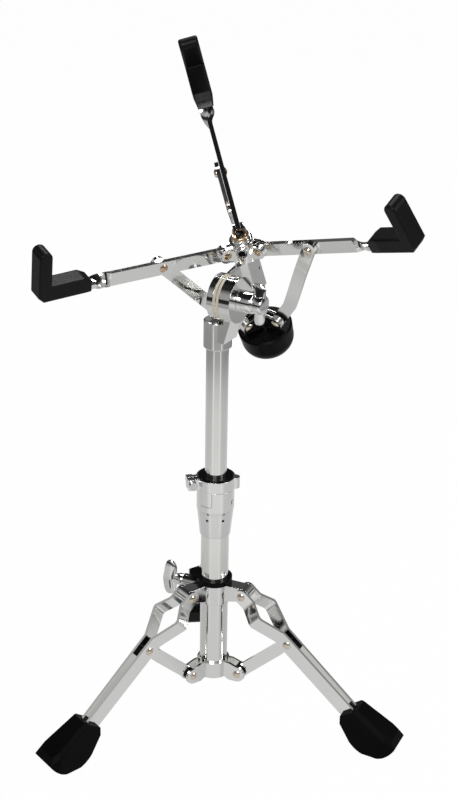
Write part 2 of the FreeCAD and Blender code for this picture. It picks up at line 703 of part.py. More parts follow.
def rivet(label, place, half_grip):
    """Rivet along Z with a domed head at both ends."""
    head_end = half_grip + d.rivet_head_height
    return turned(label, place, [
        (0, -head_end, dome_radius(), 1),
        (d.rivet_head_radius, -half_grip),
        (d.rivet_radius, -half_grip),
        (d.rivet_radius, half_grip),
        (d.rivet_head_radius, half_grip, dome_radius(), 1),
        (0, head_end),
    ], False)


def stub_rivet(label, place, start, seat, listed=False):
    """Rivet along Z from its plain end to the domed head on its seat."""
    return turned(label, place, [
        (0, start),
        (d.rivet_radius, start),
        (d.rivet_radius, seat),
        (d.rivet_head_radius, seat, dome_radius(), 1),
        (0, seat + d.rivet_head_height),
    ], listed)


def draw_wings(piece, face, span, neck):
    """The two wings of a wing bolt beyond a neck; the hub face lies at the given place along X."""
    outline = piece.sketch("XZ_Plane")
    root_end = face + neck
    draw(outline, [
        (face, -d.wing_root),
        (root_end, -d.wing_root),
        (root_end + d.wing_tip_start, -span),
        (root_end + d.wing_tip_end, -span),
        (root_end + d.wing_crown, 0),
        (root_end + d.wing_tip_end, span),
        (root_end + d.wing_tip_start, span),
        (root_end, d.wing_root),
        (face, d.wing_root),
    ])
    piece.pad(outline, d.wing_thickness, True)
    piece.soften("Fillet", d.wing_round, lambda edge: runs_along(edge, Y_AXIS)
                 and abs(middle_of(edge).z) > span.value - SPARE)


def wing_bolt(label, place, start, face):
    """Wing bolt along X: shank from start, hub from the boss face, wings beyond."""
    piece = Piece(label)
    draw_wings(piece, face, d.wing_span, d.wing_neck)
    piece.cylinder(d.wing_hub_radius, d.wing_hub_length, shift(face, 0, 0) * ALONG_X)
    piece.cylinder(d.bolt_radius, face - start + SPARE, shift(start, 0, 0) * ALONG_X)
    return piece.done(place)


def clevis(piece, spin, bar, body, pivot_x, pivot_z, end, low, high):
    """Clevis for a flat bar on a round body, turned about Z: two cheeks and a slot."""
    gap = bar + 2 * d.clevis_play
    inner = body - d.clevis_root
    slot_start = body + d.clevis_floor
    outline = piece.sketch("XZ_Plane", 0, Rotation(Y_AXIS, spin))
    draw(outline, [
        (inner, low),
        (pivot_x, pivot_z - end, end, 1),
        (pivot_x + end, pivot_z, end, 1),
        (pivot_x, pivot_z + end),
        (inner, high),
    ])
    piece.pad(outline, gap + 2 * d.clevis_cheek, True)
    reach = pivot_x + end - slot_start + SPARE
    tall = 4 * end
    piece.cut_box(reach, gap, tall, turn(Z_AXIS, spin)
                  * shift(slot_start, -0.5 * gap.value, pivot_z - 2 * end))
    hole = gap + 2 * d.clevis_cheek + 2 * SPARE
    piece.bore(d.rivet_radius + d.seat_play, hole, turn(Z_AXIS, spin)
               * shift(pivot_x, 0, pivot_z) * along_y(hole))


# Post


def make_lower_tube():
    pipe("lower_tube", shift(0, 0, d.lower_tube_bottom), d.lower_tube_radius,
         d.lower_tube_radius - d.lower_tube_wall, d.lower_tube_top - d.lower_tube_bottom)


def make_upper_tube():
    pipe("upper_tube", shift(0, 0, d.upper_tube_bottom), d.upper_tube_radius,
         d.upper_tube_radius - d.upper_tube_wall, d.upper_tube_top - d.upper_tube_bottom)


# Spider


def cheek_point(reach, offset, side):
    """Corner of a spider plate at a reach along a leg plane and an offset from it."""
    return CHEEK_COS * reach + CHEEK_SIN * offset, side * (CHEEK_SIN * reach - CHEEK_COS * offset)


def make_spider_plate(name, azimuth):
    piece = Piece("spider_plate_" + name)
    inner = d.lower_tube_radius + d.seat_play
    outer = inner + d.spider_sheet
    near = d.spider_gap
    far = near + d.spider_sheet
    inner_reach = root(inner * inner - near * near)
    outer_reach = root(outer * outer - far * far)
    plan = piece.sketch("XY_Plane", d.spider_bottom)
    draw(plan, [
        cheek_point(outer_reach, far, -1) + (outer, 1),
        cheek_point(outer_reach, far, 1),
        cheek_point(d.spider_reach, far, 1),
        cheek_point(d.spider_reach, near, 1),
        cheek_point(inner_reach, near, 1) + (inner, -1),
        cheek_point(inner_reach, near, -1),
        cheek_point(d.spider_reach, near, -1),
        cheek_point(d.spider_reach, far, -1),
    ])
    piece.pad(plan, d.spider_top - d.spider_bottom)
    pivot_x = d.spider_pivot_radius
    pivot_z = d.spider_pivot_height
    end = d.spider_end_radius
    trim = piece.sketch("XZ_Plane")
    draw(trim, [
        (pivot_x + 4 * end, d.spider_bottom - end),
        (pivot_x + 4 * end, d.spider_top + end),
        (inner - SPARE, d.spider_top + end),
        (inner - SPARE, d.spider_top + d.spider_brow),
        (pivot_x - end, d.spider_top),
        (pivot_x, pivot_z + end, end, -1),
        (pivot_x + end, pivot_z, end, -1),
        (pivot_x, pivot_z - end),
        (pivot_x - end, pivot_z - end),
        (outer + SPARE, d.spider_arch),
        (inner - SPARE, d.spider_arch),
        (inner - SPARE, d.spider_bottom - end),
    ])
    piece.revolve(trim, "Groove")
    length = 4 * far
    for side in (-60, 60):
        piece.bore(d.rivet_radius + d.seat_play, length, turn(Z_AXIS, side)
                   * shift(pivot_x, 0, pivot_z) * along_y(length))
    piece.done(radial(azimuth))


def make_spider_fittings():
    rivets, bushes = [], []
    inner = d.rivet_radius + d.pin_play
    thick = d.bush_thickness
    for azimuth in LEG_AZIMUTHS.values():
        pivot = radial(azimuth) * shift(d.spider_pivot_radius, 0, d.spider_pivot_height)
        rivets.append(rivet("spider_rivet", pivot * turn(X_AXIS, -90), d.spider_gap + d.spider_sheet))
        for side in (-90, 90):
            place = pivot * turn(X_AXIS, side) * shift(0, 0, d.spider_gap - thick)
            bushes.append(pipe("spider_bush", place, d.bush_radius, inner, thick, False))
    group("spider_rivets", rivets)
    group("spider_bushes", bushes)


# Legs and stays


def leg_frame(azimuth):
    """Frame of a leg: X along the leg, Z square to its upper edge."""
    return (radial(azimuth) * shift(d.leg_pivot_radius, 0, d.leg_pivot_height)
            * turn(Y_AXIS, d.leg_slope))


def make_stay(name, azimuth):
    run = d.leg_pivot_radius + d.leg_rivet_distance * cosine(d.leg_slope) - d.spider_pivot_radius
    rise = d.leg_pivot_height - d.leg_rivet_distance * sine(d.leg_slope) - d.spider_pivot_height
    length = root(run * run + rise * rise)
    slope = math.degrees(math.atan2(rise.value, run.value))
    half = d.stay_half_width
    eye = d.stay_eye_radius
    piece = Piece(name + "_stay")
    outline = piece.sketch("XZ_Plane")
    draw(outline, [
        (0, -half),
        (length - d.stay_neck, -half),
        (length, -eye, eye, 1),
        (length + eye, 0, eye, 1),
        (length, eye),
        (length - d.stay_neck, half),
        (0, half, half, 1),
        (-half, 0, half, 1),
    ])
    circle(outline, 0, 0, d.rivet_radius + d.pin_play)
    circle(outline, length, 0, d.stay_eye_hole)
    piece.pad(outline, d.stay_thickness, True)
    piece.done(radial(azimuth) * shift(d.spider_pivot_radius, 0, d.spider_pivot_height)
               * turn(Y_AXIS, -slope))


def strip_middle():
    return [
        (-d.strip_end, d.strip_pivot_offset),
        (d.strip_flare_start, d.strip_pivot_offset),
        (d.strip_flare_distance, d.strip_flare_offset),
        (d.strip_waist_distance, d.strip_waist_offset),
        (d.strip_length, d.strip_foot_offset),
    ]


def strip_taper():
    """Sideways drift of a strip per length between waist and foot."""
    drift = d.strip_waist_offset - d.strip_foot_offset
    return drift / (d.strip_length - d.strip_waist_distance)


def strip_offset(distance):
    """Sideways offset of a strip's middle at a distance beyond the waist."""
    return d.strip_waist_offset - strip_taper() * (distance - d.strip_waist_distance)


def make_strip(label, azimuth, side):
    piece = Piece(label)
    outline = strip_outline(strip_middle(), 0.5 * d.strip_thickness)
    plan = piece.sketch("XY_Plane")
    draw(plan, outline if side > 0 else mirrored(outline))
    piece.pad(plan, d.strip_width, True)
    end = -d.strip_end.value
    piece.soften("Fillet", 0.5 * (d.strip_width - d.strip_end_flat), lambda edge: runs_along(edge, Y_AXIS)
                 and abs(middle_of(edge).x - end) < NEAR)
    low = 0.5 * d.strip_flare_start.value
    high = d.strip_waist_distance.value + low
    piece.soften("Fillet", d.strip_bend_radius, lambda edge: runs_along(edge, Z_AXIS)
                 and low < middle_of(edge).x < high)
    reach = 4 * d.strip_flare_offset
    piece.bore(d.rivet_radius + d.pin_play, reach, along_y(reach))
    piece.bore(d.rivet_radius + d.seat_play, reach,
               shift(d.leg_rivet_distance, 0, 0) * along_y(reach))
    piece.done(leg_frame(azimuth))


def make_spacer(name, azimuth):
    piece = Piece(name + "_leg_spacer")
    end = d.spacer_start + d.spacer_length
    near = strip_offset(d.spacer_start) - 0.5 * d.strip_thickness - d.pin_play
    far = strip_offset(end) - 0.5 * d.strip_thickness - d.pin_play
    plan = piece.sketch("XY_Plane")
    draw(plan, [(d.spacer_start, -near), (end, -far), (end, far), (d.spacer_start, near)])
    piece.pad(plan, d.strip_width, True)
    low = -0.5 * d.strip_width
    piece.cut_box(d.spacer_length + 2 * SPARE, 2 * d.spacer_channel, d.strip_width,
                  shift(d.spacer_start - SPARE, -d.spacer_channel, low - d.spacer_web))
    piece.cut_box(d.spacer_open + SPARE, 2 * d.spacer_channel, d.strip_width + 2 * SPARE,
                  shift(d.spacer_start - SPARE, -d.spacer_channel, low - SPARE))
    reach = 4 * near
    piece.bore(d.rivet_radius + d.seat_play, reach,
               shift(d.leg_rivet_distance, 0, 0) * along_y(reach))
    piece.done(leg_frame(azimuth))


def make_leg_rivets(name, azimuth):
    seat = strip_offset(d.leg_rivet_distance) + 0.5 * d.strip_thickness + d.pin_play
    spot = leg_frame(azimuth) * shift(d.leg_rivet_distance, 0, 0)
    members = []
    for side in (-90, 90):
        place = spot * turn(X_AXIS, side)
        members.append(stub_rivet("leg_rivet", place, d.spacer_channel + d.pin_play, seat))
    group(name + "_leg_rivets", members)


def make_foot(name, azimuth):
    piece = Piece(name + "_foot")
    middle = d.foot_radius
    neck = middle - d.foot_neck
    toe = middle + d.foot_toe
    brow = (middle + d.foot_brow, d.foot_brow_height)
    top = (middle - d.foot_top, d.foot_top_height)
    side = piece.sketch("XZ_Plane")
    draw(side, [
        (middle - d.foot_flat_inner, 0),
        (middle + d.foot_flat_outer, 0, d.foot_sole_radius, 1),
        (toe, d.foot_toe_height),
        brow,
        top,
        (neck, d.foot_neck_height),
        (neck, d.foot_heel_height),
        (middle - d.foot_back, d.foot_back_height, d.foot_sole_radius, 1),
    ])
    wide = 2 * d.foot_toe_half_width
    piece.pad(side, wide, True)
    widest = middle + 0.5 * (d.foot_flat_outer + d.foot_brow)
    taper = piece.sketch("XY_Plane")
    cheek = [
        (neck - SPARE, d.foot_neck_half_width),
        (neck, d.foot_neck_half_width),
        (widest, d.foot_toe_half_width),
        (toe + SPARE, d.foot_toe_half_width - d.foot_toe_taper),
        (toe + SPARE, wide),
        (neck - SPARE, wide),
    ]
    draw(taper, cheek)
    draw(taper, mirrored(cheek))
    piece.pocket(taper, 4 * d.foot_top_height)
    upper = Vector(top[0].value, 0, top[1].value)
    lower = Vector(brow[0].value, 0, brow[1].value)

    def on_panel_side(edge):
        spot = middle_of(edge)
        flat = Vector(spot.x, 0, spot.z)
        off_centre = abs(spot.y) > 0.5 * d.foot_neck_half_width.value
        return off_centre and flat.distanceToLine(upper, lower - upper) < NEAR

    piece.soften("Chamfer", d.foot_panel_chamfer, on_panel_side)
    leg = shift(d.leg_pivot_radius, 0, d.leg_pivot_height) * turn(Y_AXIS, d.leg_slope)
    drift = math.degrees(math.atan(strip_taper().value))
    play = d.pin_play
    run = d.strip_length - d.strip_waist_distance
    inset = 2 * d.foot_neck
    for way in (-1, 1):
        strip = leg * shift(d.strip_waist_distance, way * d.strip_waist_offset, 0)
        corner = shift(run - inset, -0.5 * d.strip_thickness - play, -0.5 * d.strip_width - play)
        piece.cut_box(inset + d.foot_slot_end, d.strip_thickness + 2 * play,
                      d.strip_width + 2 * play, strip * turn(Z_AXIS, -way * drift) * corner)
    piece.done(radial(azimuth))


# Leg collar


def make_leg_collar():
    start = LEG_AZIMUTHS["left"]
    piece = Piece("leg_collar")
    plan = piece.sketch("XY_Plane", d.collar_bottom)
    circle(plan, 0, 0, d.collar_radius)
    piece.pad(plan, d.collar_height)
    inside = d.lower_tube_radius - SPARE
    end = d.lug_end_radius
    pivot_x = d.leg_pivot_radius
    pivot_z = d.leg_pivot_height
    side = piece.sketch("XZ_Plane")
    draw(side, [
        (inside, d.collar_bottom + d.lug_root_rise),
        (pivot_x - d.lug_flat, pivot_z - end),
        (pivot_x, pivot_z - end, end, 1),
        (pivot_x + end, pivot_z, end, 1),
        (pivot_x, pivot_z + end),
        (inside, d.collar_bottom + d.collar_height),
    ])
    lug = piece.pad(side, 2 * d.lug_half_width, True)
    doc.recompute()
    piece.polar(lug, 3)
    width = 4 * d.lug_half_width
    for step in range(3):
        piece.bore(d.rivet_radius + d.seat_play, width, turn(Z_AXIS, 120 * step)
                   * shift(pivot_x, 0, pivot_z) * along_y(width))
    bolt = turn(Z_AXIS, COLLAR_BOLT_AZIMUTH - start) * shift(0, 0, d.collar_boss_height)
    length = d.collar_boss_reach - inside
    piece.cylinder(d.collar_boss_radius, length, bolt * shift(inside, 0, 0) * ALONG_X)
    piece.bore(d.bolt_radius + d.pin_play, length + SPARE, bolt * shift(inside, 0, 0) * ALONG_X)
    piece.bore(d.lower_tube_radius + d.pin_play, d.collar_height + 2 * SPARE,
               shift(0, 0, d.collar_bottom - SPARE))
    piece.done(radial(start))

    bolt_place = radial(COLLAR_BOLT_AZIMUTH) * shift(0, 0, d.collar_boss_height)
    wing_bolt("leg_collar_wing_bolt", bolt_place, d.lower_tube_radius + d.bolt_tip_gap,
              d.collar_boss_reach + d.bolt_seat_gap)
    rivets = []
    for azimuth in LEG_AZIMUTHS.values():
        place = radial(azimuth) * shift(pivot_x, 0, pivot_z) * turn(X_AXIS, -90)
        grip = d.strip_pivot_offset + 0.5 * d.strip_thickness + d.pin_play
        rivets.append(rivet("leg_collar_rivet", place, grip))
    group("leg_collar_rivets", rivets)

    cap = Piece("leg_collar_cap")
    base = d.collar_bottom + d.collar_height
    ring = cap.sketch("XY_Plane", base)
    circle(ring, 0, 0, d.cap_radius)
    cap.pad(ring, d.cap_height)
    cap.cylinder(d.cap_lobe_radius, d.cap_height, shift(d.cap_lobe_reach, 0, base))
    cap.bore(d.lower_tube_radius + d.pin_play, d.cap_height + 2 * SPARE, shift(0, 0, base - SPARE))
    cap.done(radial(COLLAR_BOLT_AZIMUTH))


# Tube joint


def make_tube_joint():
    piece = Piece("tube_joint")
    bore = d.lower_tube_radius + d.seat_play
    side = piece.sketch("XZ_Plane")
    draw(side, [
        (bore, d.joint_bottom),
        (d.joint_low_radius, d.joint_bottom),
        (d.joint_waist_radius, d.joint_waist_height),
        (d.joint_radius, d.joint_waist_height + d.joint_shoulder),
        (d.joint_radius, d.joint_top),
        (bore, d.joint_top),
    ])
    piece.revolve(side)
    bolt = radial(JOINT_BOLT_AZIMUTH) * shift(0, 0, d.joint_bolt_height)
    start = bore + d.joint_skin
    length = d.joint_boss_reach - start
    piece.cylinder(d.collar_boss_radius, length, bolt * shift(start, 0, 0) * ALONG_X)
    piece.bore(d.bolt_radius + d.pin_play, length + d.joint_skin + 2 * SPARE,
               bolt * shift(bore - SPARE, 0, 0) * ALONG_X)
    deep = 2 * d.joint_wall
    for way in (-1, 1):
        hole = radial(way * d.joint_hole_angle.value)
        piece.bore(d.joint_hole_radius, deep, hole * shift(start, 0, d.joint_hole_height) * ALONG_X)
    slot = radial(JOINT_SLOT_AZIMUTH) * shift(start, -0.5 * d.joint_slot_width,
                                              d.joint_slot_height - 0.5 * d.joint_slot_length)
    piece.cut_box(deep, d.joint_slot_width, d.joint_slot_length, slot)
    play = d.lock_tongue_play
    inside = 0.8 * bore
    notch = radial(TONGUE_AZIMUTH) * shift(inside, -0.5 * d.lock_tongue_width - play,
                                           d.lock_tongue_bottom - play)
    piece.cut_box(d.joint_radius - inside + SPARE, d.lock_tongue_width + 2 * play,
                  d.joint_top - d.lock_tongue_bottom + 2 * SPARE, notch)
    piece.done(Placement())
    wing_bolt("joint_wing_bolt", bolt, d.lower_tube_radius + d.bolt_tip_gap,
              d.joint_boss_reach + d.bolt_seat_gap)

    inner = d.upper_tube_radius + d.pin_play
    tube_bore = d.lower_tube_radius - d.lower_tube_wall - d.seat_play
    flange = d.lower_tube_radius - d.bush_flange_inset
    top = d.lower_tube_top
    turned("joint_bush", Placement(), [
        (inner, top - d.bush_length),
        (tube_bore, top - d.bush_length),
        (tube_bore, top),
        (flange, top),
        (flange, top + d.bush_flange),
        (inner, top + d.bush_flange),
    ])


# Memory lock


def make_memory_lock():
    piece = Piece("memory_lock")
    plan = piece.sketch("XY_Plane", d.lock_bottom)
    circle(plan, 0, 0, d.lock_radius)
    piece.pad(plan, d.lock_height)
    tall = d.lock_height
    ear = radial(LOCK_EAR_AZIMUTH)
    ears = 2 * d.lock_ear_thickness + d.lock_split
    piece.box(d.lock_ear_reach - d.lock_bore, ears, tall,
              ear * shift(d.lock_bore, -0.5 * ears, d.lock_bottom))
    piece.cylinder(d.lock_knuckle_radius, tall, radial(KNUCKLE_AZIMUTH)
                   * shift(d.lock_knuckle_reach, 0, d.lock_bottom))
    half = 0.5 * d.lock_tongue_width
    outer = d.joint_radius
    inner = d.lock_tongue_inner
    tongue = piece.sketch("XY_Plane", d.lock_tongue_bottom,
                          Rotation(Z_AXIS, TONGUE_AZIMUTH - 90))
    draw(tongue, [
        (root(inner * inner - half * half), -half),
        (root(outer * outer - half * half), -half, outer, 1),
        (root(outer * outer - half * half), half),
        (root(inner * inner - half * half), half, inner, -1),
    ])
    piece.pad(tongue, d.lock_tongue_length + SPARE)
    piece.bore(d.lock_bore, d.lock_height + 2 * SPARE, shift(0, 0, d.lock_bottom))
    piece.cut_box(d.lock_ear_reach, d.lock_split, tall + 2 * SPARE,
                  ear * shift(0.8 * d.lock_bore, -0.5 * d.lock_split, d.lock_bottom - SPARE))
    bolt = ear * shift(d.key_bolt_reach, 0, d.lock_bottom + 0.5 * tall)
    hole = ears + 2 * SPARE
    piece.bore(d.key_bolt_radius + d.pin_play, hole, bolt * along_y(hole))
    piece.done(Placement())

    top = d.lock_bottom + d.lock_height
    bore = d.upper_tube_radius + d.pin_play
    turned("memory_lock_bush", Placement(), [
        (bore, d.lock_bottom + d.lock_bush_inset),
        (d.lock_bore - d.seat_play, d.lock_bottom + d.lock_bush_inset),
        (d.lock_bore - d.seat_play, top + d.seat_play),
        (d.lock_flange_radius, top + d.seat_play),
        (d.lock_flange_radius, top + d.lock_flange_height),
        (bore, top + d.lock_flange_height),
    ])

    screw = Piece("memory_lock_key_bolt")
    head = d.key_head_width
    seat = 0.5 * ears + d.bolt_seat_gap
    screw.box(head, d.key_head_length, head, shift(-0.5 * head, -seat - d.key_head_length, -0.5 * head))
    shank = 2 * (seat + SPARE)
    screw.cylinder(d.key_bolt_radius, shank, along_y(shank))
    screw.cylinder(d.key_nut_radius, d.key_nut_length, shift(0, seat, 0) * turn(X_AXIS, -90))
    screw.done(bolt)


# Tilter


def tilter_frame():
    """Frame of the fixed side: X along the tilt axis, Z up."""
    return shift(0, 0, d.tilt_height) * turn(Z_AXIS, d.tilter_turn)


def basket_frame():
    """Frame of the basket: X along the tilt axis, Z along the rod."""
    return tilter_frame() * turn(X_AXIS, d.basket_tilt)


def make_tilter():
    washer_start = d.moving_disc + d.disc_gap
    spacer_start = washer_start + d.nylon_washer
    second_start = spacer_start + d.spacer_disc
    fixed_start = second_start + d.nylon_washer
    fixed_end = fixed_start + d.fixed_disc
    bolt_hole = d.tilt_bolt_radius + d.pin_play
    frame = tilter_frame()

    piece = Piece("tilter_neck")
    bottom = d.neck_bottom - d.tilt_height
    top = d.neck_top - d.tilt_height
    side = piece.sketch("XZ_Plane")
    draw(side, [
        (0, bottom),
        (d.neck_radius - d.neck_bevel, bottom),
        (d.neck_radius, bottom + d.neck_bevel),
        (d.neck_radius, top - d.neck_bevel),
        (d.neck_radius - d.neck_bevel, top),
        (0, top),
    ])
    piece.revolve(side)
    piece.cylinder(d.disc_radius, d.fixed_disc, shift(fixed_start, 0, 0) * ALONG_X)
    web = piece.sketch("XZ_Plane")
    draw(web, [
        (0.5 * d.neck_radius, bottom + d.neck_web_start),
        (d.neck_radius, bottom + d.neck_web_start),
        (fixed_end - d.neck_web_setback, -0.6 * d.disc_radius),
        (fixed_start, -0.6 * d.disc_radius),
        (fixed_start, top),
        (0.5 * d.neck_radius, top),
    ])
    piece.pad(web, 2 * d.neck_web_half_width, True)
    piece.bore(bolt_hole, fixed_end + SPARE, ALONG_X)
    piece.bore(d.upper_tube_radius + d.seat_play, d.neck_grip + d.neck_floor_gap + SPARE,
               shift(0, 0, bottom - SPARE))
    piece.done(frame)

    members = []
    for start in (washer_start, second_start):
        members.append(pipe("tilter_washer", frame * shift(start, 0, 0) * ALONG_X,
                            d.disc_radius - d.washer_inset, bolt_hole, d.nylon_washer, False))
    group("tilter_washers", members)
    pipe("tilter_spacer", frame * shift(spacer_start, 0, 0) * ALONG_X, d.disc_radius, bolt_hole,
         d.spacer_disc)

    bolt_end = fixed_end + d.nut_hub_length + d.tilt_bolt_spare
    head_end = -d.disc_gap
    turned("tilter_bolt", frame * ALONG_X, [
        (0, head_end - d.tilt_head_height),
        (d.tilt_head_radius - d.tilt_head_bevel, head_end - d.tilt_head_height),
        (d.tilt_head_radius, head_end - d.tilt_head_height + d.tilt_head_bevel),
        (d.tilt_head_radius, head_end),
        (d.tilt_bolt_radius, head_end),
        (d.tilt_bolt_radius, bolt_end),
        (0, bolt_end),
    ])

    nut = Piece("tilter_wing_nut")
    face = fixed_end + d.bolt_seat_gap
    draw_wings(nut, face, d.nut_span, d.nut_neck)
    nut.cylinder(d.nut_hub_radius, d.nut_hub_length, shift(face, 0, 0) * ALONG_X)
    nut.bore(bolt_hole, bolt_end - face + 2 * SPARE, shift(face - SPARE, 0, 0) * ALONG_X)
    nut.done(frame)


def make_bracket():
    piece = Piece("tilter_bracket")
    front = d.rod_back - 0.5 * d.column_depth
    piece.cylinder(d.disc_radius, d.moving_disc, ALONG_X)
    low = d.apex_rise - d.column_bottom
    high = d.apex_rise - d.hub_bottom - d.seat_play
    web = piece.sketch("YZ_Plane")
    draw(web, [
        (0, -d.bracket_web_low),
        (front + SPARE, -d.bracket_web_foot),
        (front + SPARE, high - SPARE),
        (0, d.bracket_web_high),
    ])
    piece.pad(web, d.moving_disc)
    column = piece.sketch("XZ_Plane", -d.rod_back)
    draw(column, [
        (d.rod_side - d.column_low_half, low),
        (d.rod_side + d.column_low_half, low),
        (d.rod_side + d.column_high_half, high),
        (d.rod_side - d.column_high_half, high),
    ])
    piece.pad(column, d.column_depth, True)
    rod = shift(d.rod_side, d.rod_back, 0)
    piece.cylinder(d.column_boss_radius, d.column_boss_length,
                   rod * shift(0, 0, low - d.column_boss_length))
    piece.bore(d.rod_radius + d.seat_play, high - low + d.column_boss_length + 2 * SPARE,
               rod * shift(0, 0, low - d.column_boss_length - SPARE))
    hole_start = d.rod_side + d.column_high_half - d.column_hole_depth
    piece.bore(d.column_hole_radius, 2 * d.column_hole_depth,
               shift(hole_start, d.rod_back + d.column_hole_back, d.apex_rise - d.column_hole_drop)
               * ALONG_X)
    piece.bore(d.tilt_bolt_radius + d.pin_play, d.moving_disc + 2 * SPARE,
               shift(-SPARE, 0, 0) * ALONG_X)
    piece.done(basket_frame())


# Basket


def hub_frame():
    """Frame on the rod axis at the apex of the arms."""
    return basket_frame() * shift(d.rod_side, d.rod_back, d.apex_rise)


def make_hub():
    piece = Piece("basket_hub")
    low = -d.hub_bottom
    plan = piece.sketch("XY_Plane", low)
    circle(plan, 0, 0, d.hub_radius)
    piece.pad(plan, d.hub_top + d.hub_bottom)
    pivot_x = d.hub_pivot_distance * cosine(d.arm_rise)
    pivot_z = d.hub_pivot_distance * sine(d.arm_rise)
    for psi in ARM_AZIMUTHS.values():
        clevis(piece, 90 + psi, d.arm_thickness, d.hub_radius, pivot_x, pivot_z,
               d.hub_end_radius, low, d.hub_top - d.hub_rim)
    nose = turn(Z_AXIS, 90 + HUB_NOSE_AZIMUTH) * shift(0, 0, d.hub_nose_rise) * ALONG_X
    piece.cylinder(d.hub_nose_radius, d.hub_nose_reach, nose)
    piece.bore(d.hub_nose_hole, d.hub_nose_reach + SPARE, nose)
    piece.bore(d.rod_radius + d.seat_play, d.hub_top + d.hub_bottom + 2 * SPARE,
               shift(0, 0, low - SPARE))
    piece.done(hub_frame())

    bore = d.rod_radius + d.seat_play
    turned("hub_collar", hub_frame() * shift(0, 0, d.hub_top + d.seat_play), [
        (bore, 0),
        (d.brass_radius - d.brass_bevel, 0),
        (d.brass_radius, d.brass_bevel),
        (d.brass_radius, d.brass_height - d.brass_bevel),
        (d.brass_radius - d.brass_bevel, d.brass_height),
        (bore, d.brass_height),
    ])
    rod = Piece("basket_rod")
    core = rod.sketch("XY_Plane", -d.rod_bottom)
    circle(core, 0, 0, d.rod_radius)
    rod.pad(core, d.rod_bottom + d.rod_top)
    rod.done(hub_frame())

    grip = 0.5 * d.arm_thickness + d.clevis_play + d.clevis_cheek
    members = []
    for psi in ARM_AZIMUTHS.values():
        place = hub_frame() * turn(Z_AXIS, 90 + psi) * shift(pivot_x, 0, pivot_z)
        members.append(rivet("hub_rivet", place * turn(X_AXIS, -90), grip))
    group("hub_rivets", members)


def arm_frame(psi):
    """Frame of an arm at the apex: X along the arm, Z across its edge."""
    return hub_frame() * turn(Z_AXIS, 90 + psi) * turn(Y_AXIS, -d.arm_rise)


def make_arm(name, psi, link_side):
    piece = Piece(name + "_arm")
    half = 0.5 * d.arm_height
    pivot = d.hub_pivot_distance
    side = piece.sketch("XZ_Plane")
    draw(side, [
        (pivot, -half),
        (d.arm_twist_start, -half),
        (d.arm_twist_start, half),
        (pivot, half, half, 1),
        (pivot - half, 0, half, 1),
    ])
    circle(side, pivot, 0, d.rivet_radius + d.pin_play)
    circle(side, d.arm_link_distance, 0, d.rivet_radius + d.seat_play)
    piece.pad(side, d.arm_thickness, True)
    sections = []
    thin = 0.5 * d.arm_thickness
    for step in range(TWIST_STEPS + 1):
        share = step / TWIST_STEPS
        section = piece.sketch("YZ_Plane", d.arm_twist_start + share * d.arm_twist_length,
                               Rotation(Z_AXIS, 90 * share))
        draw(section, [(-thin, -half), (thin, -half), (thin, half), (-thin, half)])
        sections.append(section)
    piece.loft(sections)
    piece.box(d.arm_tongue, d.arm_height, d.arm_thickness, shift(d.arm_tongue_start, -half, -thin))
    piece.done(arm_frame(psi))

    place = arm_frame(psi) * shift(d.arm_link_distance, 0, 0) * turn(X_AXIS, 90 * link_side)
    stub_rivet(name + "_arm_rivet", place, -thin, thin, True)


def make_grip(name, psi):
    piece = Piece(name + "_grip")
    half = d.grip_pad_half
    far = d.grip_length
    near = far - d.grip_upright
    round_end = 0.5 * d.grip_upright
    side = piece.sketch("XZ_Plane")
    draw(side, [
        (0, -half),
        (far - d.grip_toe, -half),
        (far, d.grip_toe - half),
        (far, d.grip_rise - round_end, round_end, 1),
        (far - round_end, d.grip_rise, round_end, 1),
        (near, d.grip_rise - round_end),
        (near, half),
        (d.grip_nose, half),
        (0, d.grip_nose_rise),
    ])
    piece.pad(side, d.grip_width, True)
    full = 0.5 * d.grip_width
    piece.soften("Fillet", d.grip_edge_round,
                 lambda edge: abs(abs(middle_of(edge).y) - full.value) < NEAR)
    plan = piece.sketch("XY_Plane")
    corner = [
        (-SPARE, d.grip_nose_half_width),
        (0, d.grip_nose_half_width),
        (2 * d.grip_taper, 2 * full - d.grip_nose_half_width),
        (-SPARE, 2 * full - d.grip_nose_half_width),
    ]
    draw(plan, corner)
    draw(plan, mirrored(corner))
    piece.pocket(plan, 4 * half)
    droop = shift(d.grip_start, 0, d.grip_lift) * turn(Y_AXIS, d.grip_droop)
    play = d.pin_play
    piece.cut_box(d.arm_tongue + play, d.arm_height + 2 * play, d.arm_thickness + 2 * play,
                  droop.inverse() * shift(d.arm_tongue_start, -0.5 * d.arm_height - play,
                                          -0.5 * d.arm_thickness - play))
    piece.done(arm_frame(psi) * droop)


def link_run():
    """Radial run and rise of a link from the slider to the arm."""
    run = d.arm_link_distance * cosine(d.arm_rise) - d.slider_pivot_radius
    rise = d.arm_link_distance * sine(d.arm_rise) + d.slider_pivot_drop
    return run, rise


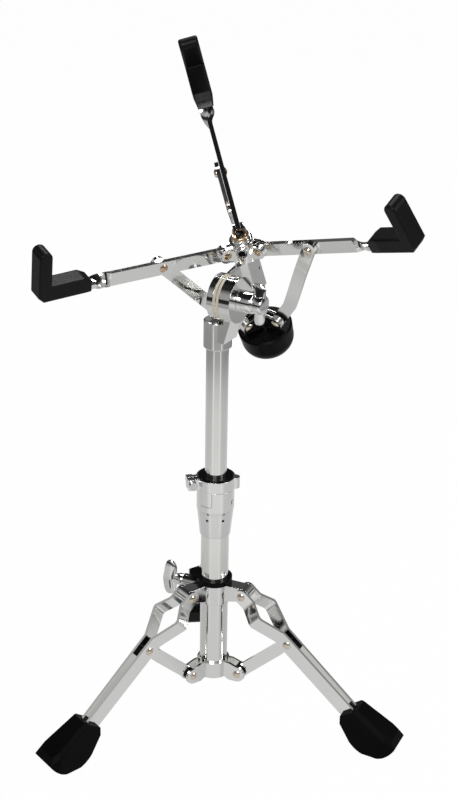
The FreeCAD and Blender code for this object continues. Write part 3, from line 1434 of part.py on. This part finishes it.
def make_link(name, psi, link_side):
    run, rise = link_run()
    length = root(run * run + rise * rise)
    slope = math.degrees(math.atan2(rise.value, run.value))
    half = d.link_half_width
    end = length + d.link_tail - half
    offset = 0.5 * d.arm_thickness + d.link_side_gap + 0.5 * d.link_thickness
    piece = Piece(name + "_link")
    side = piece.sketch("XZ_Plane")
    draw(side, [
        (0, -half),
        (d.link_bend, -half - d.link_bow),
        (length, -half),
        (end, -half, half, 1),
        (end + half, 0, half, 1),
        (end, half),
        (length, half),
        (d.link_bend, half - d.link_bow),
        (0, half, half, 1),
        (-half, 0, half, 1),
    ])
    circle(side, 0, 0, d.rivet_radius + d.pin_play)
    wide = 4 * offset
    piece.pad(side, wide, True)
    middle = [
        (-2 * half, as_size(0)),
        (d.link_joggle_start, as_size(0)),
        (d.link_joggle_start + d.link_joggle_length, link_side * offset),
        (length + 2 * d.link_tail, link_side * offset),
    ]
    outline = strip_outline(middle, 0.5 * d.link_thickness)
    lower = outline[:4]
    upper = outline[4:][::-1]
    plan = piece.sketch("XY_Plane")
    draw(plan, lower[::-1] + [(lower[0][0], -wide), (lower[3][0], -wide)])
    draw(plan, upper + [(upper[3][0], wide), (upper[0][0], wide)])
    piece.pocket(plan, 8 * half)
    piece.cylinder(d.link_boss_radius, d.rivet_head_height,
                   shift(length, link_side * (offset + 0.5 * d.link_thickness), 0)
                   * turn(X_AXIS, -90 * link_side))
    piece.done(hub_frame() * turn(Z_AXIS, 90 + psi)
               * shift(d.slider_pivot_radius, 0, -d.slider_pivot_drop) * turn(Y_AXIS, -slope))


def make_slider():
    piece = Piece("basket_slider")
    low = -d.slider_bottom
    tall = d.slider_bottom - d.slider_top
    plan = piece.sketch("XY_Plane", low)
    circle(plan, 0, 0, d.slider_radius)
    piece.pad(plan, tall)
    for psi in ARM_AZIMUTHS.values():
        clevis(piece, 90 + psi, d.link_thickness, d.slider_radius, d.slider_pivot_radius,
               -d.slider_pivot_drop, d.slider_end_radius, low + d.slider_rim,
               -d.slider_top - d.slider_rim)
    piece.bore(d.rod_radius + d.pin_play, tall + 2 * SPARE, shift(0, 0, low - SPARE))
    piece.done(hub_frame())

    grip = 0.5 * d.link_thickness + d.clevis_play + d.clevis_cheek
    members = []
    for psi in ARM_AZIMUTHS.values():
        place = (hub_frame() * turn(Z_AXIS, 90 + psi)
                 * shift(d.slider_pivot_radius, 0, -d.slider_pivot_drop))
        members.append(rivet("slider_rivet", place * turn(X_AXIS, -90), grip))
    group("slider_rivets", members)


def make_knob():
    top = -d.knob_top
    skirt = top - d.knob_skirt
    bottom = top - d.knob_height
    bore = d.rod_radius + d.pin_play
    turned("basket_knob", hub_frame(), [
        (0, bottom),
        (d.knob_base_radius, bottom, d.knob_round, 1),
        (d.knob_skirt_radius, skirt),
        (d.knob_radius, top - d.knob_rim),
        (d.knob_radius - d.knob_rim, top),
        (bore, top),
        (bore, -d.knob_bore_end),
        (0, -d.knob_bore_end),
    ])


make_lower_tube()
for plate_name, plate_azimuth in PLATE_AZIMUTHS.items():
    make_spider_plate(plate_name, plate_azimuth)
make_spider_fittings()
make_tube_joint()
make_leg_collar()
for leg_name, leg_azimuth in LEG_AZIMUTHS.items():
    make_strip(leg_name + "_leg_strip_a", leg_azimuth, 1)
    make_strip(leg_name + "_leg_strip_b", leg_azimuth, -1)
    make_spacer(leg_name, leg_azimuth)
    make_leg_rivets(leg_name, leg_azimuth)
    make_foot(leg_name, leg_azimuth)
    make_stay(leg_name, leg_azimuth)
make_upper_tube()
make_memory_lock()
make_tilter()
make_bracket()
make_hub()
make_slider()
make_knob()
for arm_name, arm_azimuth in ARM_AZIMUTHS.items():
    make_arm(arm_name, arm_azimuth, LINK_SIDES[arm_name])
    make_grip(arm_name, arm_azimuth)
    make_link(arm_name, arm_azimuth, LINK_SIDES[arm_name])

doc.recompute()
faults = [o.Label for o in doc.Objects if "Invalid" in o.State or "Error" in o.State]
faults += [p.Label for p in pieces if p.Shape.isNull() or not p.Shape.isValid()]
if faults:
    raise RuntimeError("faulty objects: " + ", ".join(faults))

os.makedirs("parts", exist_ok=True)
for piece_object in pieces:
    piece_object.Shape.exportStep("parts/%s.step" % piece_object.Label)
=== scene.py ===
import json
import math

import bmesh
import bpy
from mathutils import Matrix, Vector


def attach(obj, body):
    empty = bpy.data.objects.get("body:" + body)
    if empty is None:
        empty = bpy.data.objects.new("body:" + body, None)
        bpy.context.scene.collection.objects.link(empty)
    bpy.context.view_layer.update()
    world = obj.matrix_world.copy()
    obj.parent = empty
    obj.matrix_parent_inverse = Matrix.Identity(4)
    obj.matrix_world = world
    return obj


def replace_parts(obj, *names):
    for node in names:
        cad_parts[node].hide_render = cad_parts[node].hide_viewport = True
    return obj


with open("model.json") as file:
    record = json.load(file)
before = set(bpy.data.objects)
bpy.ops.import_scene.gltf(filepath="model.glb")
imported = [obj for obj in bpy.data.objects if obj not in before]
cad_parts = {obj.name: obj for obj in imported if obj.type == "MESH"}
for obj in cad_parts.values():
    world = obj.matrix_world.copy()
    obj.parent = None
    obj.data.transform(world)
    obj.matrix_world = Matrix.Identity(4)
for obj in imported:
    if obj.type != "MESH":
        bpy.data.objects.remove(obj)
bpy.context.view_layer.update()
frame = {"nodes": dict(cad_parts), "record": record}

MILLIMETRE = 0.001
QUARTER = math.radians(90.0)

# The view of the photograph, which is 457 x 800 pixels; its place in metres
IMAGE_HEIGHT = 800
FOCAL_PIXELS = 1789.0
CAMERA_PLACE = Vector((0.0, -1.613, 1.080))
PITCH_DOWN = math.radians(24.10)
YAW = math.radians(0.41)
ROLL = math.radians(0.96)
SENSOR = 36.0
CLIP_END = 50.0


def add_camera():
    forward = Vector((math.sin(YAW) * math.cos(PITCH_DOWN), math.cos(YAW) * math.cos(PITCH_DOWN),
                      -math.sin(PITCH_DOWN)))
    level = Vector((math.cos(YAW), -math.sin(YAW), 0.0))
    upright = level.cross(forward)
    right = level * math.cos(ROLL) + upright * math.sin(ROLL)
    up = upright * math.cos(ROLL) - level * math.sin(ROLL)
    data = bpy.data.cameras.new("photo_view")
    data.sensor_fit = "VERTICAL"
    data.sensor_height = SENSOR
    data.lens = FOCAL_PIXELS / IMAGE_HEIGHT * SENSOR
    data.clip_end = CLIP_END
    camera = bpy.data.objects.new("photo_view", data)
    bpy.context.scene.collection.objects.link(camera)
    turn = Matrix((right, up, -forward)).transposed()
    camera.matrix_world = Matrix.Translation(CAMERA_PLACE) @ turn.to_4x4()
    bpy.context.scene.camera = camera


# Where most values of a noise texture lie
NOISE_LOW = 0.3
NOISE_HIGH = 0.7


class Tree:
    """A small builder of node trees: inputs are numbers, colours or other nodes' outputs."""

    def __init__(self, tree):
        self.nodes = tree.nodes
        self.links = tree.links

    def feed(self, socket, value):
        if isinstance(value, bpy.types.NodeSocket):
            self.links.new(value, socket)
        else:
            socket.default_value = value

    def add(self, kind, inputs=None, **settings):
        node = self.nodes.new(kind)
        for key, value in settings.items():
            setattr(node, key, value)
        for key, value in (inputs or {}).items():
            self.feed(node.inputs[key], value)
        return node

    def math(self, operation, first, second=0.0):
        return self.add("ShaderNodeMath", {0: first, 1: second}, operation=operation).outputs[0]

    def noise(self, place, scale, detail, stretch=None):
        if stretch is not None:
            place = self.add("ShaderNodeMapping", {"Vector": place, "Scale": stretch}).outputs["Vector"]
        inputs = {"Vector": place, "Scale": scale, "Detail": detail}
        return self.add("ShaderNodeTexNoise", inputs).outputs["Fac"]

    def spread(self, noise, low, high):
        """Maps a noise to low..high."""
        inputs = {"Value": noise, "From Min": NOISE_LOW, "From Max": NOISE_HIGH, "To Min": low, "To Max": high}
        return self.add("ShaderNodeMapRange", inputs).outputs["Result"]

    def mix(self, first, second, factor=1.0, way="MIX"):
        """Mixes two colours."""
        mix = self.add("ShaderNodeMix", data_type="RGBA", blend_type=way)
        self.feed(mix.inputs["Factor"], factor)
        self.feed(mix.inputs[6], first)
        self.feed(mix.inputs[7], second)
        return mix.outputs[2]

    def ramp(self, value, stops):
        """A grey ramp through (position, grey) stops."""
        ramp = self.add("ShaderNodeValToRGB", {"Fac": value})
        elements = ramp.color_ramp.elements
        while len(elements) < len(stops):
            elements.new(0.5)
        for element, (position, shade) in zip(elements, stops):
            element.position = position
            element.color = grey(shade)
        return ramp.outputs["Color"]

    def turn_from_front(self, split):
        """0 towards the front, 1 towards the back, on either hand."""
        back = self.math("MULTIPLY", split.outputs["Y"], -1.0)
        angle = self.math("ARCTAN2", split.outputs["X"], back)
        return self.math("DIVIDE", self.math("ABSOLUTE", angle), math.pi)


# Materials: noise scales and details, and depths of the grain in metres
PATCH_DETAIL = 3.0
METAL_PATCH = 9.0
METAL_DETAIL = 5.0
METAL_DEPTH = 0.0002
MOULDED_PATCH = 25.0
MOULDED_DETAIL = 6.0
MOULDED_DEPTH = 0.0004
BEVEL_SAMPLES = 6


def grey(value):
    return (value, value, value, 1.0)


def new_material(name):
    material = bpy.data.materials.new(name)
    material.use_nodes = True
    tree = Tree(material.node_tree)
    return material, tree, tree.nodes["Principled BSDF"]


def colour_surface(tree, surface, patches, fine, dark, light, rough):
    """Broad patches between two colours, and a roughness that follows the fine grain."""
    colour = tree.mix(dark + (1.0,), light + (1.0,), tree.spread(patches, 0.0, 1.0))
    tree.feed(surface.inputs["Base Color"], colour)
    tree.feed(surface.inputs["Roughness"], tree.spread(fine, *rough))


def raise_grain(tree, surface, fine, strength, depth, edge):
    """Bump of the fine grain, over edges that are rounded in the shading."""
    bump = {"Height": fine, "Strength": strength, "Distance": depth}
    if edge > 0.0:
        bump["Normal"] = tree.add("ShaderNodeBevel", {"Radius": edge}, samples=BEVEL_SAMPLES).outputs["Normal"]
    tree.feed(surface.inputs["Normal"], tree.add("ShaderNodeBump", bump).outputs["Normal"])


def metal(name, dark, light, rough, grain, stretch=None, strength=0.02, edge=0.0):
    """Plated or plain metal with uneven polish."""
    material, tree, surface = new_material(name)
    surface.inputs["Metallic"].default_value = 1.0
    place = tree.add("ShaderNodeTexCoord").outputs["Object"]
    patches = tree.noise(place, METAL_PATCH, PATCH_DETAIL)
    fine = tree.noise(place, grain, METAL_DETAIL, stretch)
    colour_surface(tree, surface, patches, fine, dark, light, rough)
    raise_grain(tree, surface, fine, strength, METAL_DEPTH, edge)
    return material


def moulded(name, dark, light, rough, grain, strength, edge, gloss):
    """Moulded rubber or plastic with a fine surface grain."""
    material, tree, surface = new_material(name)
    surface.inputs["Specular IOR Level"].default_value = gloss
    place = tree.add("ShaderNodeTexCoord").outputs["Object"]
    patches = tree.noise(place, MOULDED_PATCH, PATCH_DETAIL)
    fine = tree.noise(place, grain, MOULDED_DETAIL)
    colour_surface(tree, surface, patches, fine, dark, light, rough)
    raise_grain(tree, surface, fine, strength, MOULDED_DEPTH, edge)
    return material


MATERIALS = {
    "chrome": metal("bar_chrome", (0.90, 0.90, 0.885), (0.96, 0.96, 0.945), (0.05, 0.11), 160.0),
    "tube_chrome": metal("drawn_tube_chrome", (0.90, 0.895, 0.87), (0.96, 0.955, 0.93), (0.06, 0.12), 300.0,
                         stretch=(1.0, 1.0, 0.05)),
    "cast_chrome": metal("cast_piece_chrome", (0.88, 0.88, 0.87), (0.95, 0.95, 0.94), (0.05, 0.12), 90.0,
                         strength=0.04, edge=0.0007),
    "black_rubber": moulded("black_rubber", (0.0022, 0.0022, 0.0024), (0.0045, 0.0045, 0.0048), (0.38, 0.55), 900.0,
                            strength=0.20, edge=0.0012, gloss=0.05),
    "grip_rubber": moulded("grip_rubber", (0.0035, 0.0034, 0.0036), (0.0065, 0.0063, 0.0066), (0.34, 0.48), 900.0,
                           strength=0.15, edge=0.0016, gloss=0.18),
    "black_plastic": moulded("black_plastic", (0.0020, 0.0020, 0.0022), (0.0040, 0.0040, 0.0042), (0.22, 0.36), 600.0,
                             strength=0.08, edge=0.0008, gloss=0.08),
    "nylon": moulded("cream_nylon", (0.70, 0.62, 0.46), (0.80, 0.74, 0.60), (0.35, 0.5), 500.0,
                     strength=0.08, edge=0.0004, gloss=0.4),
    "brass": metal("plain_brass", (0.60, 0.42, 0.27), (0.78, 0.60, 0.42), (0.16, 0.28), 250.0),
    "copper": metal("coppery_rivets", (0.78, 0.67, 0.54), (0.91, 0.83, 0.71), (0.14, 0.26), 250.0),
    "steel": metal("plated_steel", (0.62, 0.63, 0.65), (0.76, 0.77, 0.79), (0.14, 0.26), 220.0),
}


def dress_nodes():
    """The slot's material on every CAD node; the grips are a little glossier than the feet."""
    slots = {part["node"]: part["material_slot"] for part in frame["record"]["subparts"]}
    for name, node in frame["nodes"].items():
        for slot in node.material_slots:
            slot.material = MATERIALS["grip_rubber" if name.endswith("_grip") else slots[name]]


# Places of the CAD that the visual pieces sit on, in metres
TILT_HEIGHT = 0.4684
TILT_TURN = math.radians(-30.0)
TILT_NUT_FACE = 0.02475
BASKET_TILT = math.radians(26.0)
HUB_FROM_TILT = (0.0042, 0.053, 0.013)
HUB_TOP = 0.0150
ROD_TOP = 0.02202
NOSE_TURN = math.radians(296.3)
NOSE_RISE = 0.009
NOSE_FACE = 0.016
JOINT_HOLE_TURN = 27.0
JOINT_HOLE_REACH = 0.0177
JOINT_HOLE_HEIGHT = 0.2315
TILT_PLACE = Matrix.Translation((0.0, 0.0, TILT_HEIGHT)) @ Matrix.Rotation(TILT_TURN, 4, "Z")
HUB_PLACE = TILT_PLACE @ Matrix.Rotation(BASKET_TILT, 4, "X") @ Matrix.Translation(HUB_FROM_TILT)

# Arms: turn about the hub in degrees, and the side that the link passes on
ARMS = {"left": (148.5, -1), "right": (-95.9, -1), "rear": (37.4, 1)}
ARM_RISE = math.radians(20.9)

# Links: places in metres
LINK_FOOT = (0.0185, 0.0, -0.0923)
LINK_SLOPE = math.radians(62.07)
LINK_PIVOT = 0.0905
LINK_FACE = 0.0066

# Links: the strip's own sizes in millimetres, from its lower rivet
LINK_HALF = 6.5
LINK_HALF_THICKNESS = 2.0
LINK_LENGTH = 141.0
LINK_END = 145.5
LINK_BEND = 36.0
LINK_BOW = 4.6
LINK_HOLE = 2.6
LINK_JOGGLE_START = 40.0
LINK_JOGGLE_END = 112.0
LINK_OFFSET = 4.6
LINK_STEP = 2.0

# Walls of a link between two columns, by the columns' points: four strips of the faces, two edges, the hole's two sides
LINK_WALLS = ((0, 1), (2, 3), (4, 5), (6, 7), (0, 4), (3, 7))
LINK_HOLE_WALLS = ((1, 5), (2, 6))

# Wing bolts: node, body, place of the hub's face in metres, turn in degrees, length of the shank in millimetres
WING_BOLTS = (("leg_collar_wing_bolt", "collar_wing", (-0.031061, 0.013829, 0.145999), 156.0, 19.3),
              ("joint_wing_bolt", "joint_wing", (0.0, 0.0271, 0.238), 90.0, 12.4))

RING_POINTS = 48
SAME_POINT = 1e-6
SHARP_ANGLE = math.radians(40.0)


def ring_of(form, place, radius_x, radius_y, centre_x, height):
    """A ring of points about the local Z axis, sizes in millimetres; one point where it has no width."""
    row = []
    for step in range(RING_POINTS if radius_x > 0.0 else 1):
        angle = 2.0 * math.pi * step / RING_POINTS
        point = Vector((centre_x + radius_x * math.cos(angle), radius_y * math.sin(angle), height))
        row.append(form.verts.new(place @ (point * MILLIMETRE)))
    return row


def skin(form, rows):
    """Joins each ring to the next one."""
    for lower, upper in zip(rows, rows[1:]):
        for step in range(RING_POINTS):
            following = (step + 1) % RING_POINTS
            corners = [lower[step % len(lower)], lower[following % len(lower)],
                       upper[following % len(upper)], upper[step % len(upper)]]
            form.faces.new(list(dict.fromkeys(corners)))


def turn_profile(form, place, profile):
    """Turns (radius, height) points in millimetres about the local Z axis."""
    skin(form, [ring_of(form, place, radius, radius, 0.0, height) for radius, height in profile])


def new_piece(name, form, body, slot):
    bmesh.ops.remove_doubles(form, verts=form.verts, dist=SAME_POINT)
    bmesh.ops.recalc_face_normals(form, faces=form.faces)
    mesh = bpy.data.meshes.new(name)
    form.to_mesh(mesh)
    form.free()
    mesh.shade_smooth()
    mesh.set_sharp_from_angle(angle=SHARP_ANGLE)
    mesh.materials.append(MATERIALS[slot])
    piece = bpy.data.objects.new(name, mesh)
    bpy.context.scene.collection.objects.link(piece)
    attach(piece, body)
    return piece


def turned_piece(name, profile, place, body, slot):
    form = bmesh.new()
    turn_profile(form, place, profile)
    return new_piece(name, form, body, slot)


def winged_piece(name, place, barrel, wing, body):
    """A barrel turned about the local X axis, with a wing of (radius, radius, centre, height) rings across it."""
    form = bmesh.new()
    turn_profile(form, place @ Matrix.Rotation(QUARTER, 4, "Y"), barrel)
    skin(form, [ring_of(form, place, *section) for section in wing])
    return new_piece(name, form, body, "cast_chrome")


def add_tilter_wing():
    """Wing nut of the tilter: a barrel along the tilt axis and a rounded cross bar."""
    barrel = [(0.0, 15.6), (4.3, 15.6), (4.3, 0.0), (9.9, 0.0), (10.5, 0.6), (10.5, 14.6), (10.1, 15.4), (9.2, 15.8),
              (9.0, 16.6), (9.4, 17.4), (9.4, 25.0), (8.8, 26.2), (7.0, 26.9), (0.0, 27.4)]
    bar = [(0.0, 0.0, 20.0, -21.0), (3.0, 1.6, 20.2, -20.6), (4.6, 2.5, 20.6, -19.0), (5.4, 3.0, 21.0, -16.0),
           (5.6, 3.6, 21.2, -12.0), (5.4, 4.8, 21.4, -8.0), (5.2, 6.0, 21.4, 0.0), (5.6, 4.8, 21.2, 8.0),
           (6.6, 3.6, 20.6, 12.0), (7.4, 3.0, 20.0, 16.0), (6.6, 2.5, 19.6, 19.0), (4.4, 1.6, 19.4, 20.6),
           (0.0, 0.0, 19.4, 21.0)]
    place = TILT_PLACE @ Matrix.Translation((TILT_NUT_FACE, 0.0, 0.0))
    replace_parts(winged_piece("tilter_wing_form", place, barrel, bar, "tilter_wing"), "tilter_wing_nut")


def add_wing_bolts():
    """Wing bolts along their local X axis, the hub's face at the origin."""
    wing = [(0.0, 0.0, 17.2, -19.8), (3.2, 1.8, 17.0, -19.2), (5.5, 2.8, 16.6, -17.0), (7.0, 3.4, 16.4, -13.0),
            (7.6, 3.8, 16.6, -8.0), (7.9, 4.4, 16.8, -3.0), (7.9, 4.6, 16.6, 0.0), (7.4, 4.2, 16.2, 4.0),
            (7.1, 3.7, 15.8, 9.0), (6.8, 3.2, 15.6, 13.0), (5.2, 2.6, 15.6, 17.0), (3.0, 1.7, 15.8, 19.2),
            (0.0, 0.0, 16.0, 19.8)]
    for node, body, corner, turn, shank in WING_BOLTS:
        hub = [(0.0, -shank), (3.5, -shank), (3.5, 0.0), (5.9, 0.0), (6.4, 0.6), (6.4, 5.0), (5.6, 8.0), (4.6, 11.0),
               (0.0, 12.0)]
        place = Matrix.Translation(corner) @ Matrix.Rotation(math.radians(turn), 4, "Z")
        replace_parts(winged_piece(node + "_form", place, hub, wing, body), node)


def arm_place(turn):
    """The hub's place, turned so that the local X axis points along an arm."""
    return HUB_PLACE @ Matrix.Rotation(math.radians(90.0 + turn), 4, "Z")


def link_stations():
    """Distances along a link at which its outline is set: close at the round ends and the hole."""
    arc = [math.radians(step * 10.0) for step in range(10)]
    lower = [-LINK_HALF * math.cos(angle) for angle in arc]
    hole = [LINK_HOLE * math.cos(math.radians(step * 15.0)) for step in range(13)]
    run = [LINK_HALF + step * LINK_STEP for step in range(int((LINK_END - LINK_HALF) / LINK_STEP))]
    upper = [LINK_END + LINK_HALF * math.sin(angle) for angle in arc]
    return sorted(set(round(value, 6) for value in lower + hole + run + upper + [LINK_BEND]))


def link_column(along, side):
    """Offset across the strip and the four heights (edge, hole, hole, edge) of a link at a distance along it."""
    past_end = -along if along < 0.0 else max(along - LINK_END, 0.0)
    half = math.sqrt(max(LINK_HALF ** 2 - past_end ** 2, 0.0))
    if along < LINK_BEND:
        centre = -LINK_BOW * max(along, 0.0) / LINK_BEND
    else:
        centre = -LINK_BOW * max(LINK_LENGTH - along, 0.0) / (LINK_LENGTH - LINK_BEND)
    hole = math.sqrt(max(LINK_HOLE ** 2 - along ** 2, 0.0))
    middle = 0.0 if hole > 0.0 else centre
    share = min(max((along - LINK_JOGGLE_START) / (LINK_JOGGLE_END - LINK_JOGGLE_START), 0.0), 1.0)
    across = side * LINK_OFFSET * share * share * (3.0 - 2.0 * share)
    return across, (centre - half, middle - hole, middle + hole, centre + half)


def add_links():
    """Links of the basket: bowed strips with a long, gentle joggle to the side of the arms."""
    stations = link_stations()
    for arm, (turn, side) in ARMS.items():
        place = arm_place(turn) @ Matrix.Translation(LINK_FOOT) @ Matrix.Rotation(-LINK_SLOPE, 4, "Y")
        form = bmesh.new()
        rows = []
        for along in stations:
            across, heights = link_column(along, side)
            rows.append([form.verts.new(place @ (Vector((along, across + face, height)) * MILLIMETRE))
                         for face in (-LINK_HALF_THICKNESS, LINK_HALF_THICKNESS) for height in heights])
        for index in range(len(stations) - 1):
            near, far = rows[index], rows[index + 1]
            at_hole = stations[index] >= -LINK_HOLE and stations[index + 1] <= LINK_HOLE
            for first, second in LINK_WALLS + (LINK_HOLE_WALLS if at_hole else ()):
                form.faces.new((near[first], near[second], far[second], far[first]))
        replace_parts(new_piece(arm + "_link_form", form, arm + "_link", "chrome"), arm + "_link")


def add_link_rivets():
    """Domed heads of the rivets that hold the links on the arms."""
    profile = [(0.0, 0.0), (4.4, 0.0), (4.4, 0.7), (4.1, 1.5), (3.5, 2.1), (2.4, 2.6), (1.4, 2.75),
               (1.1, 2.45), (0.0, 2.4)]
    for arm, (turn, side) in ARMS.items():
        pivot = (LINK_PIVOT * math.cos(ARM_RISE), side * LINK_FACE, LINK_PIVOT * math.sin(ARM_RISE))
        place = arm_place(turn) @ Matrix.Translation(pivot) @ Matrix.Rotation(-side * QUARTER, 4, "X")
        turned_piece(arm + "_link_rivet", profile, place, arm + "_link", "copper")


def add_hub_detail():
    """Brass ring on a chrome sleeve; a black dish on the rod's end and a black plug in the hub's nose, which are
    painted shade in those hollows.
    """
    top = HUB_PLACE @ Matrix.Translation((0.0, 0.0, HUB_TOP))
    ring = [(8.5, 2.6), (8.7, 3.6), (8.6, 4.8), (8.1, 5.7), (7.3, 6.1), (6.5, 5.9), (6.0, 5.3), (5.8, 4.0),
            (4.6, 3.6), (4.6, 2.6), (8.5, 2.6)]
    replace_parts(turned_piece("hub_collar_ring", ring, top, "basket", "brass"), "hub_collar")
    sleeve = [(4.6, 0.05), (8.9, 0.05), (9.4, 0.6), (9.4, 2.6), (9.1, 3.1), (8.5, 3.2), (8.4, 2.4), (4.6, 2.4),
              (4.6, 0.05)]
    turned_piece("hub_collar_sleeve", sleeve, top, "basket", "cast_chrome")
    # A black dish on the rod's end inside the brass ring: painted shade of the hollow at the ring's centre.
    end_shade_dish = [(0.0, 0.0), (4.5, 0.0), (4.7, 0.15), (4.6, 0.35), (4.1, 0.45), (3.5, 0.35), (3.0, 0.12), (0.0, 0.08)]
    end = HUB_PLACE @ Matrix.Translation((0.0, 0.0, ROD_TOP))
    turned_piece("rod_end_shade_dish", end_shade_dish, end, "basket", "black_plastic")
    # A black plug deep in the hub's nose hole: painted shade, standing in for the hole's own darkness.
    nose_shade_plug = [(0.0, -2.6), (3.76, -2.6), (3.76, -0.8), (3.4, -1.0), (2.0, -1.8), (0.0, -2.0)]
    nose = (HUB_PLACE @ Matrix.Rotation(NOSE_TURN, 4, "Z")
            @ Matrix.Translation((NOSE_FACE, 0.0, NOSE_RISE)) @ Matrix.Rotation(QUARTER, 4, "Y"))
    turned_piece("hub_nose_shade_plug", nose_shade_plug, nose, "basket", "black_plastic")


def add_joint_hole_shade():
    """Black plugs shaped as set screws in the two small holes of the tube joint, as painted shade of the holes."""
    # The black plugs paint the shade inside the two holes.
    hole_shade_plug = [(0.0, -1.6), (1.46, -1.6), (1.46, -0.45), (1.2, -0.35), (0.7, -0.4), (0.6, -0.8), (0.0, -0.85)]
    for name, side in (("left", -1), ("right", 1)):
        place = (Matrix.Rotation(math.radians(side * JOINT_HOLE_TURN - 90.0), 4, "Z")
                 @ Matrix.Translation((JOINT_HOLE_REACH, 0.0, JOINT_HOLE_HEIGHT)) @ Matrix.Rotation(QUARTER, 4, "Y"))
        turned_piece("joint_hole_shade_" + name, hole_shade_plug, place, "base", "black_plastic")


# Studio: (position, grey) stops of what polished metal sees, while the camera sees white.
# Turns go from 0 in front to 1 behind, reaches from the middle of the floor to FLOOR_SPAN metres,
# and heights from 0 at the horizon to 1 overhead.
FLOOR_TURN = [(0.0, 1.0), (0.22, 1.0), (0.31, 0.80), (0.62, 0.78), (0.78, 0.90), (1.0, 0.95)]
FLOOR_REACH = [(0.0, 0.60), (0.06, 0.60), (0.10, 0.68), (0.15, 0.67), (0.20, 0.62), (0.22, 0.52), (0.245, 0.33),
               (0.27, 0.33), (0.31, 0.43), (0.45, 0.42), (0.60, 0.30), (0.70, 0.05), (1.0, 0.03)]
STRIPE_TURN = [(0.0, 0.0), (0.145, 0.0), (0.165, 0.76), (0.215, 0.76), (0.235, 0.0), (1.0, 0.0)]
STRIPE_REACH = [(0.0, 0.70), (0.075, 0.92), (0.225, 1.0), (0.275, 0.85), (0.325, 0.30), (0.5, 0.0)]
FLOOR_SPAN = 4.0
WALL_TURN = [(0.0, 0.50), (0.15, 0.46), (0.22, 0.30), (0.40, 0.32), (0.52, 0.46), (0.63, 0.42), (0.72, 0.14),
             (0.90, 0.08), (1.0, 0.07)]
WALL_HEIGHT = [(0.0, 0.04), (0.10, 0.06), (0.16, 1.0), (0.50, 0.95), (0.64, 0.50), (0.76, 0.05), (1.0, 0.03)]
FLOOR_WHITENESS = 0.985
FLOOR_HALF = 12.0
FLOOR_GREY = 0.86
FLOOR_ROUGHNESS = 0.9

# Area lights: name, place, target and size in metres, power in watts
LIGHTS = (("key_light", (-0.5, -2.4, 2.1), (0.0, 0.0, 0.35), (1.5, 1.0), 34.0),
          ("side_light", (2.0, -0.9, 1.3), (0.0, 0.0, 0.35), (0.8, 1.2), 14.0),
          ("top_light", (0.1, 1.0, 2.1), (0.0, 0.0, 0.5), (0.9, 0.5), 16.0))


def add_floor():
    """White for the camera, a graded sweep with stripes for polished metal, and plain pale for other light."""
    mesh = bpy.data.meshes.new("studio_floor")
    corners = [(-FLOOR_HALF, -FLOOR_HALF, 0.0), (FLOOR_HALF, -FLOOR_HALF, 0.0),
               (FLOOR_HALF, FLOOR_HALF, 0.0), (-FLOOR_HALF, FLOOR_HALF, 0.0)]
    mesh.from_pydata(corners, [], [(0, 1, 2, 3)])
    floor = bpy.data.objects.new("studio_floor", mesh)
    bpy.context.scene.collection.objects.link(floor)
    material, tree, surface = new_material("studio_floor")
    surface.inputs["Base Color"].default_value = grey(FLOOR_GREY)
    surface.inputs["Roughness"].default_value = FLOOR_ROUGHNESS
    place = tree.add("ShaderNodeTexCoord").outputs["Object"]
    split = tree.add("ShaderNodeSeparateXYZ", {"Vector": place})
    reach = tree.add("ShaderNodeVectorMath", {0: place}, operation="LENGTH").outputs["Value"]
    turn = tree.turn_from_front(split)
    share = tree.math("DIVIDE", reach, FLOOR_SPAN)
    sweep = tree.mix(tree.ramp(turn, FLOOR_TURN), tree.ramp(share, FLOOR_REACH), way="MULTIPLY")
    stripes = tree.mix(tree.ramp(turn, STRIPE_TURN), tree.ramp(share, STRIPE_REACH), way="MULTIPLY")
    mirrored = tree.mix(sweep, stripes, way="LIGHTEN")
    seen_in_metal = tree.add("ShaderNodeEmission", {"Color": mirrored, "Strength": 1.0})
    white = tree.add("ShaderNodeEmission", {"Color": grey(1.0), "Strength": 1.0})
    path = tree.add("ShaderNodeLightPath")
    lit = tree.add("ShaderNodeMixShader", {0: path.outputs["Is Glossy Ray"], 1: surface.outputs["BSDF"],
                                           2: seen_in_metal.outputs["Emission"]})
    whiteness = tree.math("MULTIPLY", path.outputs["Is Camera Ray"], FLOOR_WHITENESS)
    shown = tree.add("ShaderNodeMixShader", {0: whiteness, 1: lit.outputs["Shader"], 2: white.outputs["Emission"]})
    tree.feed(tree.nodes["Material Output"].inputs["Surface"], shown.outputs["Shader"])
    mesh.materials.append(material)


def add_world():
    """White for the camera; for all else grey walls, dark behind, at the horizon and overhead."""
    world = bpy.data.worlds.new("studio")
    bpy.context.scene.world = world
    world.use_nodes = True
    tree = Tree(world.node_tree)
    place = tree.add("ShaderNodeTexCoord").outputs["Generated"]
    split = tree.add("ShaderNodeSeparateXYZ", {"Vector": place})
    walls = tree.mix(tree.ramp(tree.turn_from_front(split), WALL_TURN),
                     tree.ramp(split.outputs["Z"], WALL_HEIGHT), way="MULTIPLY")
    path = tree.add("ShaderNodeLightPath")
    shown = tree.mix(walls, grey(1.0), path.outputs["Is Camera Ray"])
    tree.feed(tree.nodes["Background"].inputs["Color"], shown)


def add_lights():
    for name, place, target, size, power in LIGHTS:
        data = bpy.data.lights.new(name, "AREA")
        data.shape = "RECTANGLE"
        data.size, data.size_y = size
        data.energy = power
        light = bpy.data.objects.new(name, data)
        bpy.context.scene.collection.objects.link(light)
        light.location = place
        light.rotation_euler = (Vector(target) - Vector(place)).to_track_quat("-Z", "Y").to_euler()


bpy.context.scene.view_settings.view_transform = "Standard"
add_camera()
add_world()
add_floor()
add_lights()
dress_nodes()
add_tilter_wing()
add_wing_bolts()
add_links()
add_link_rivets()
add_hub_detail()
add_joint_hole_shade()
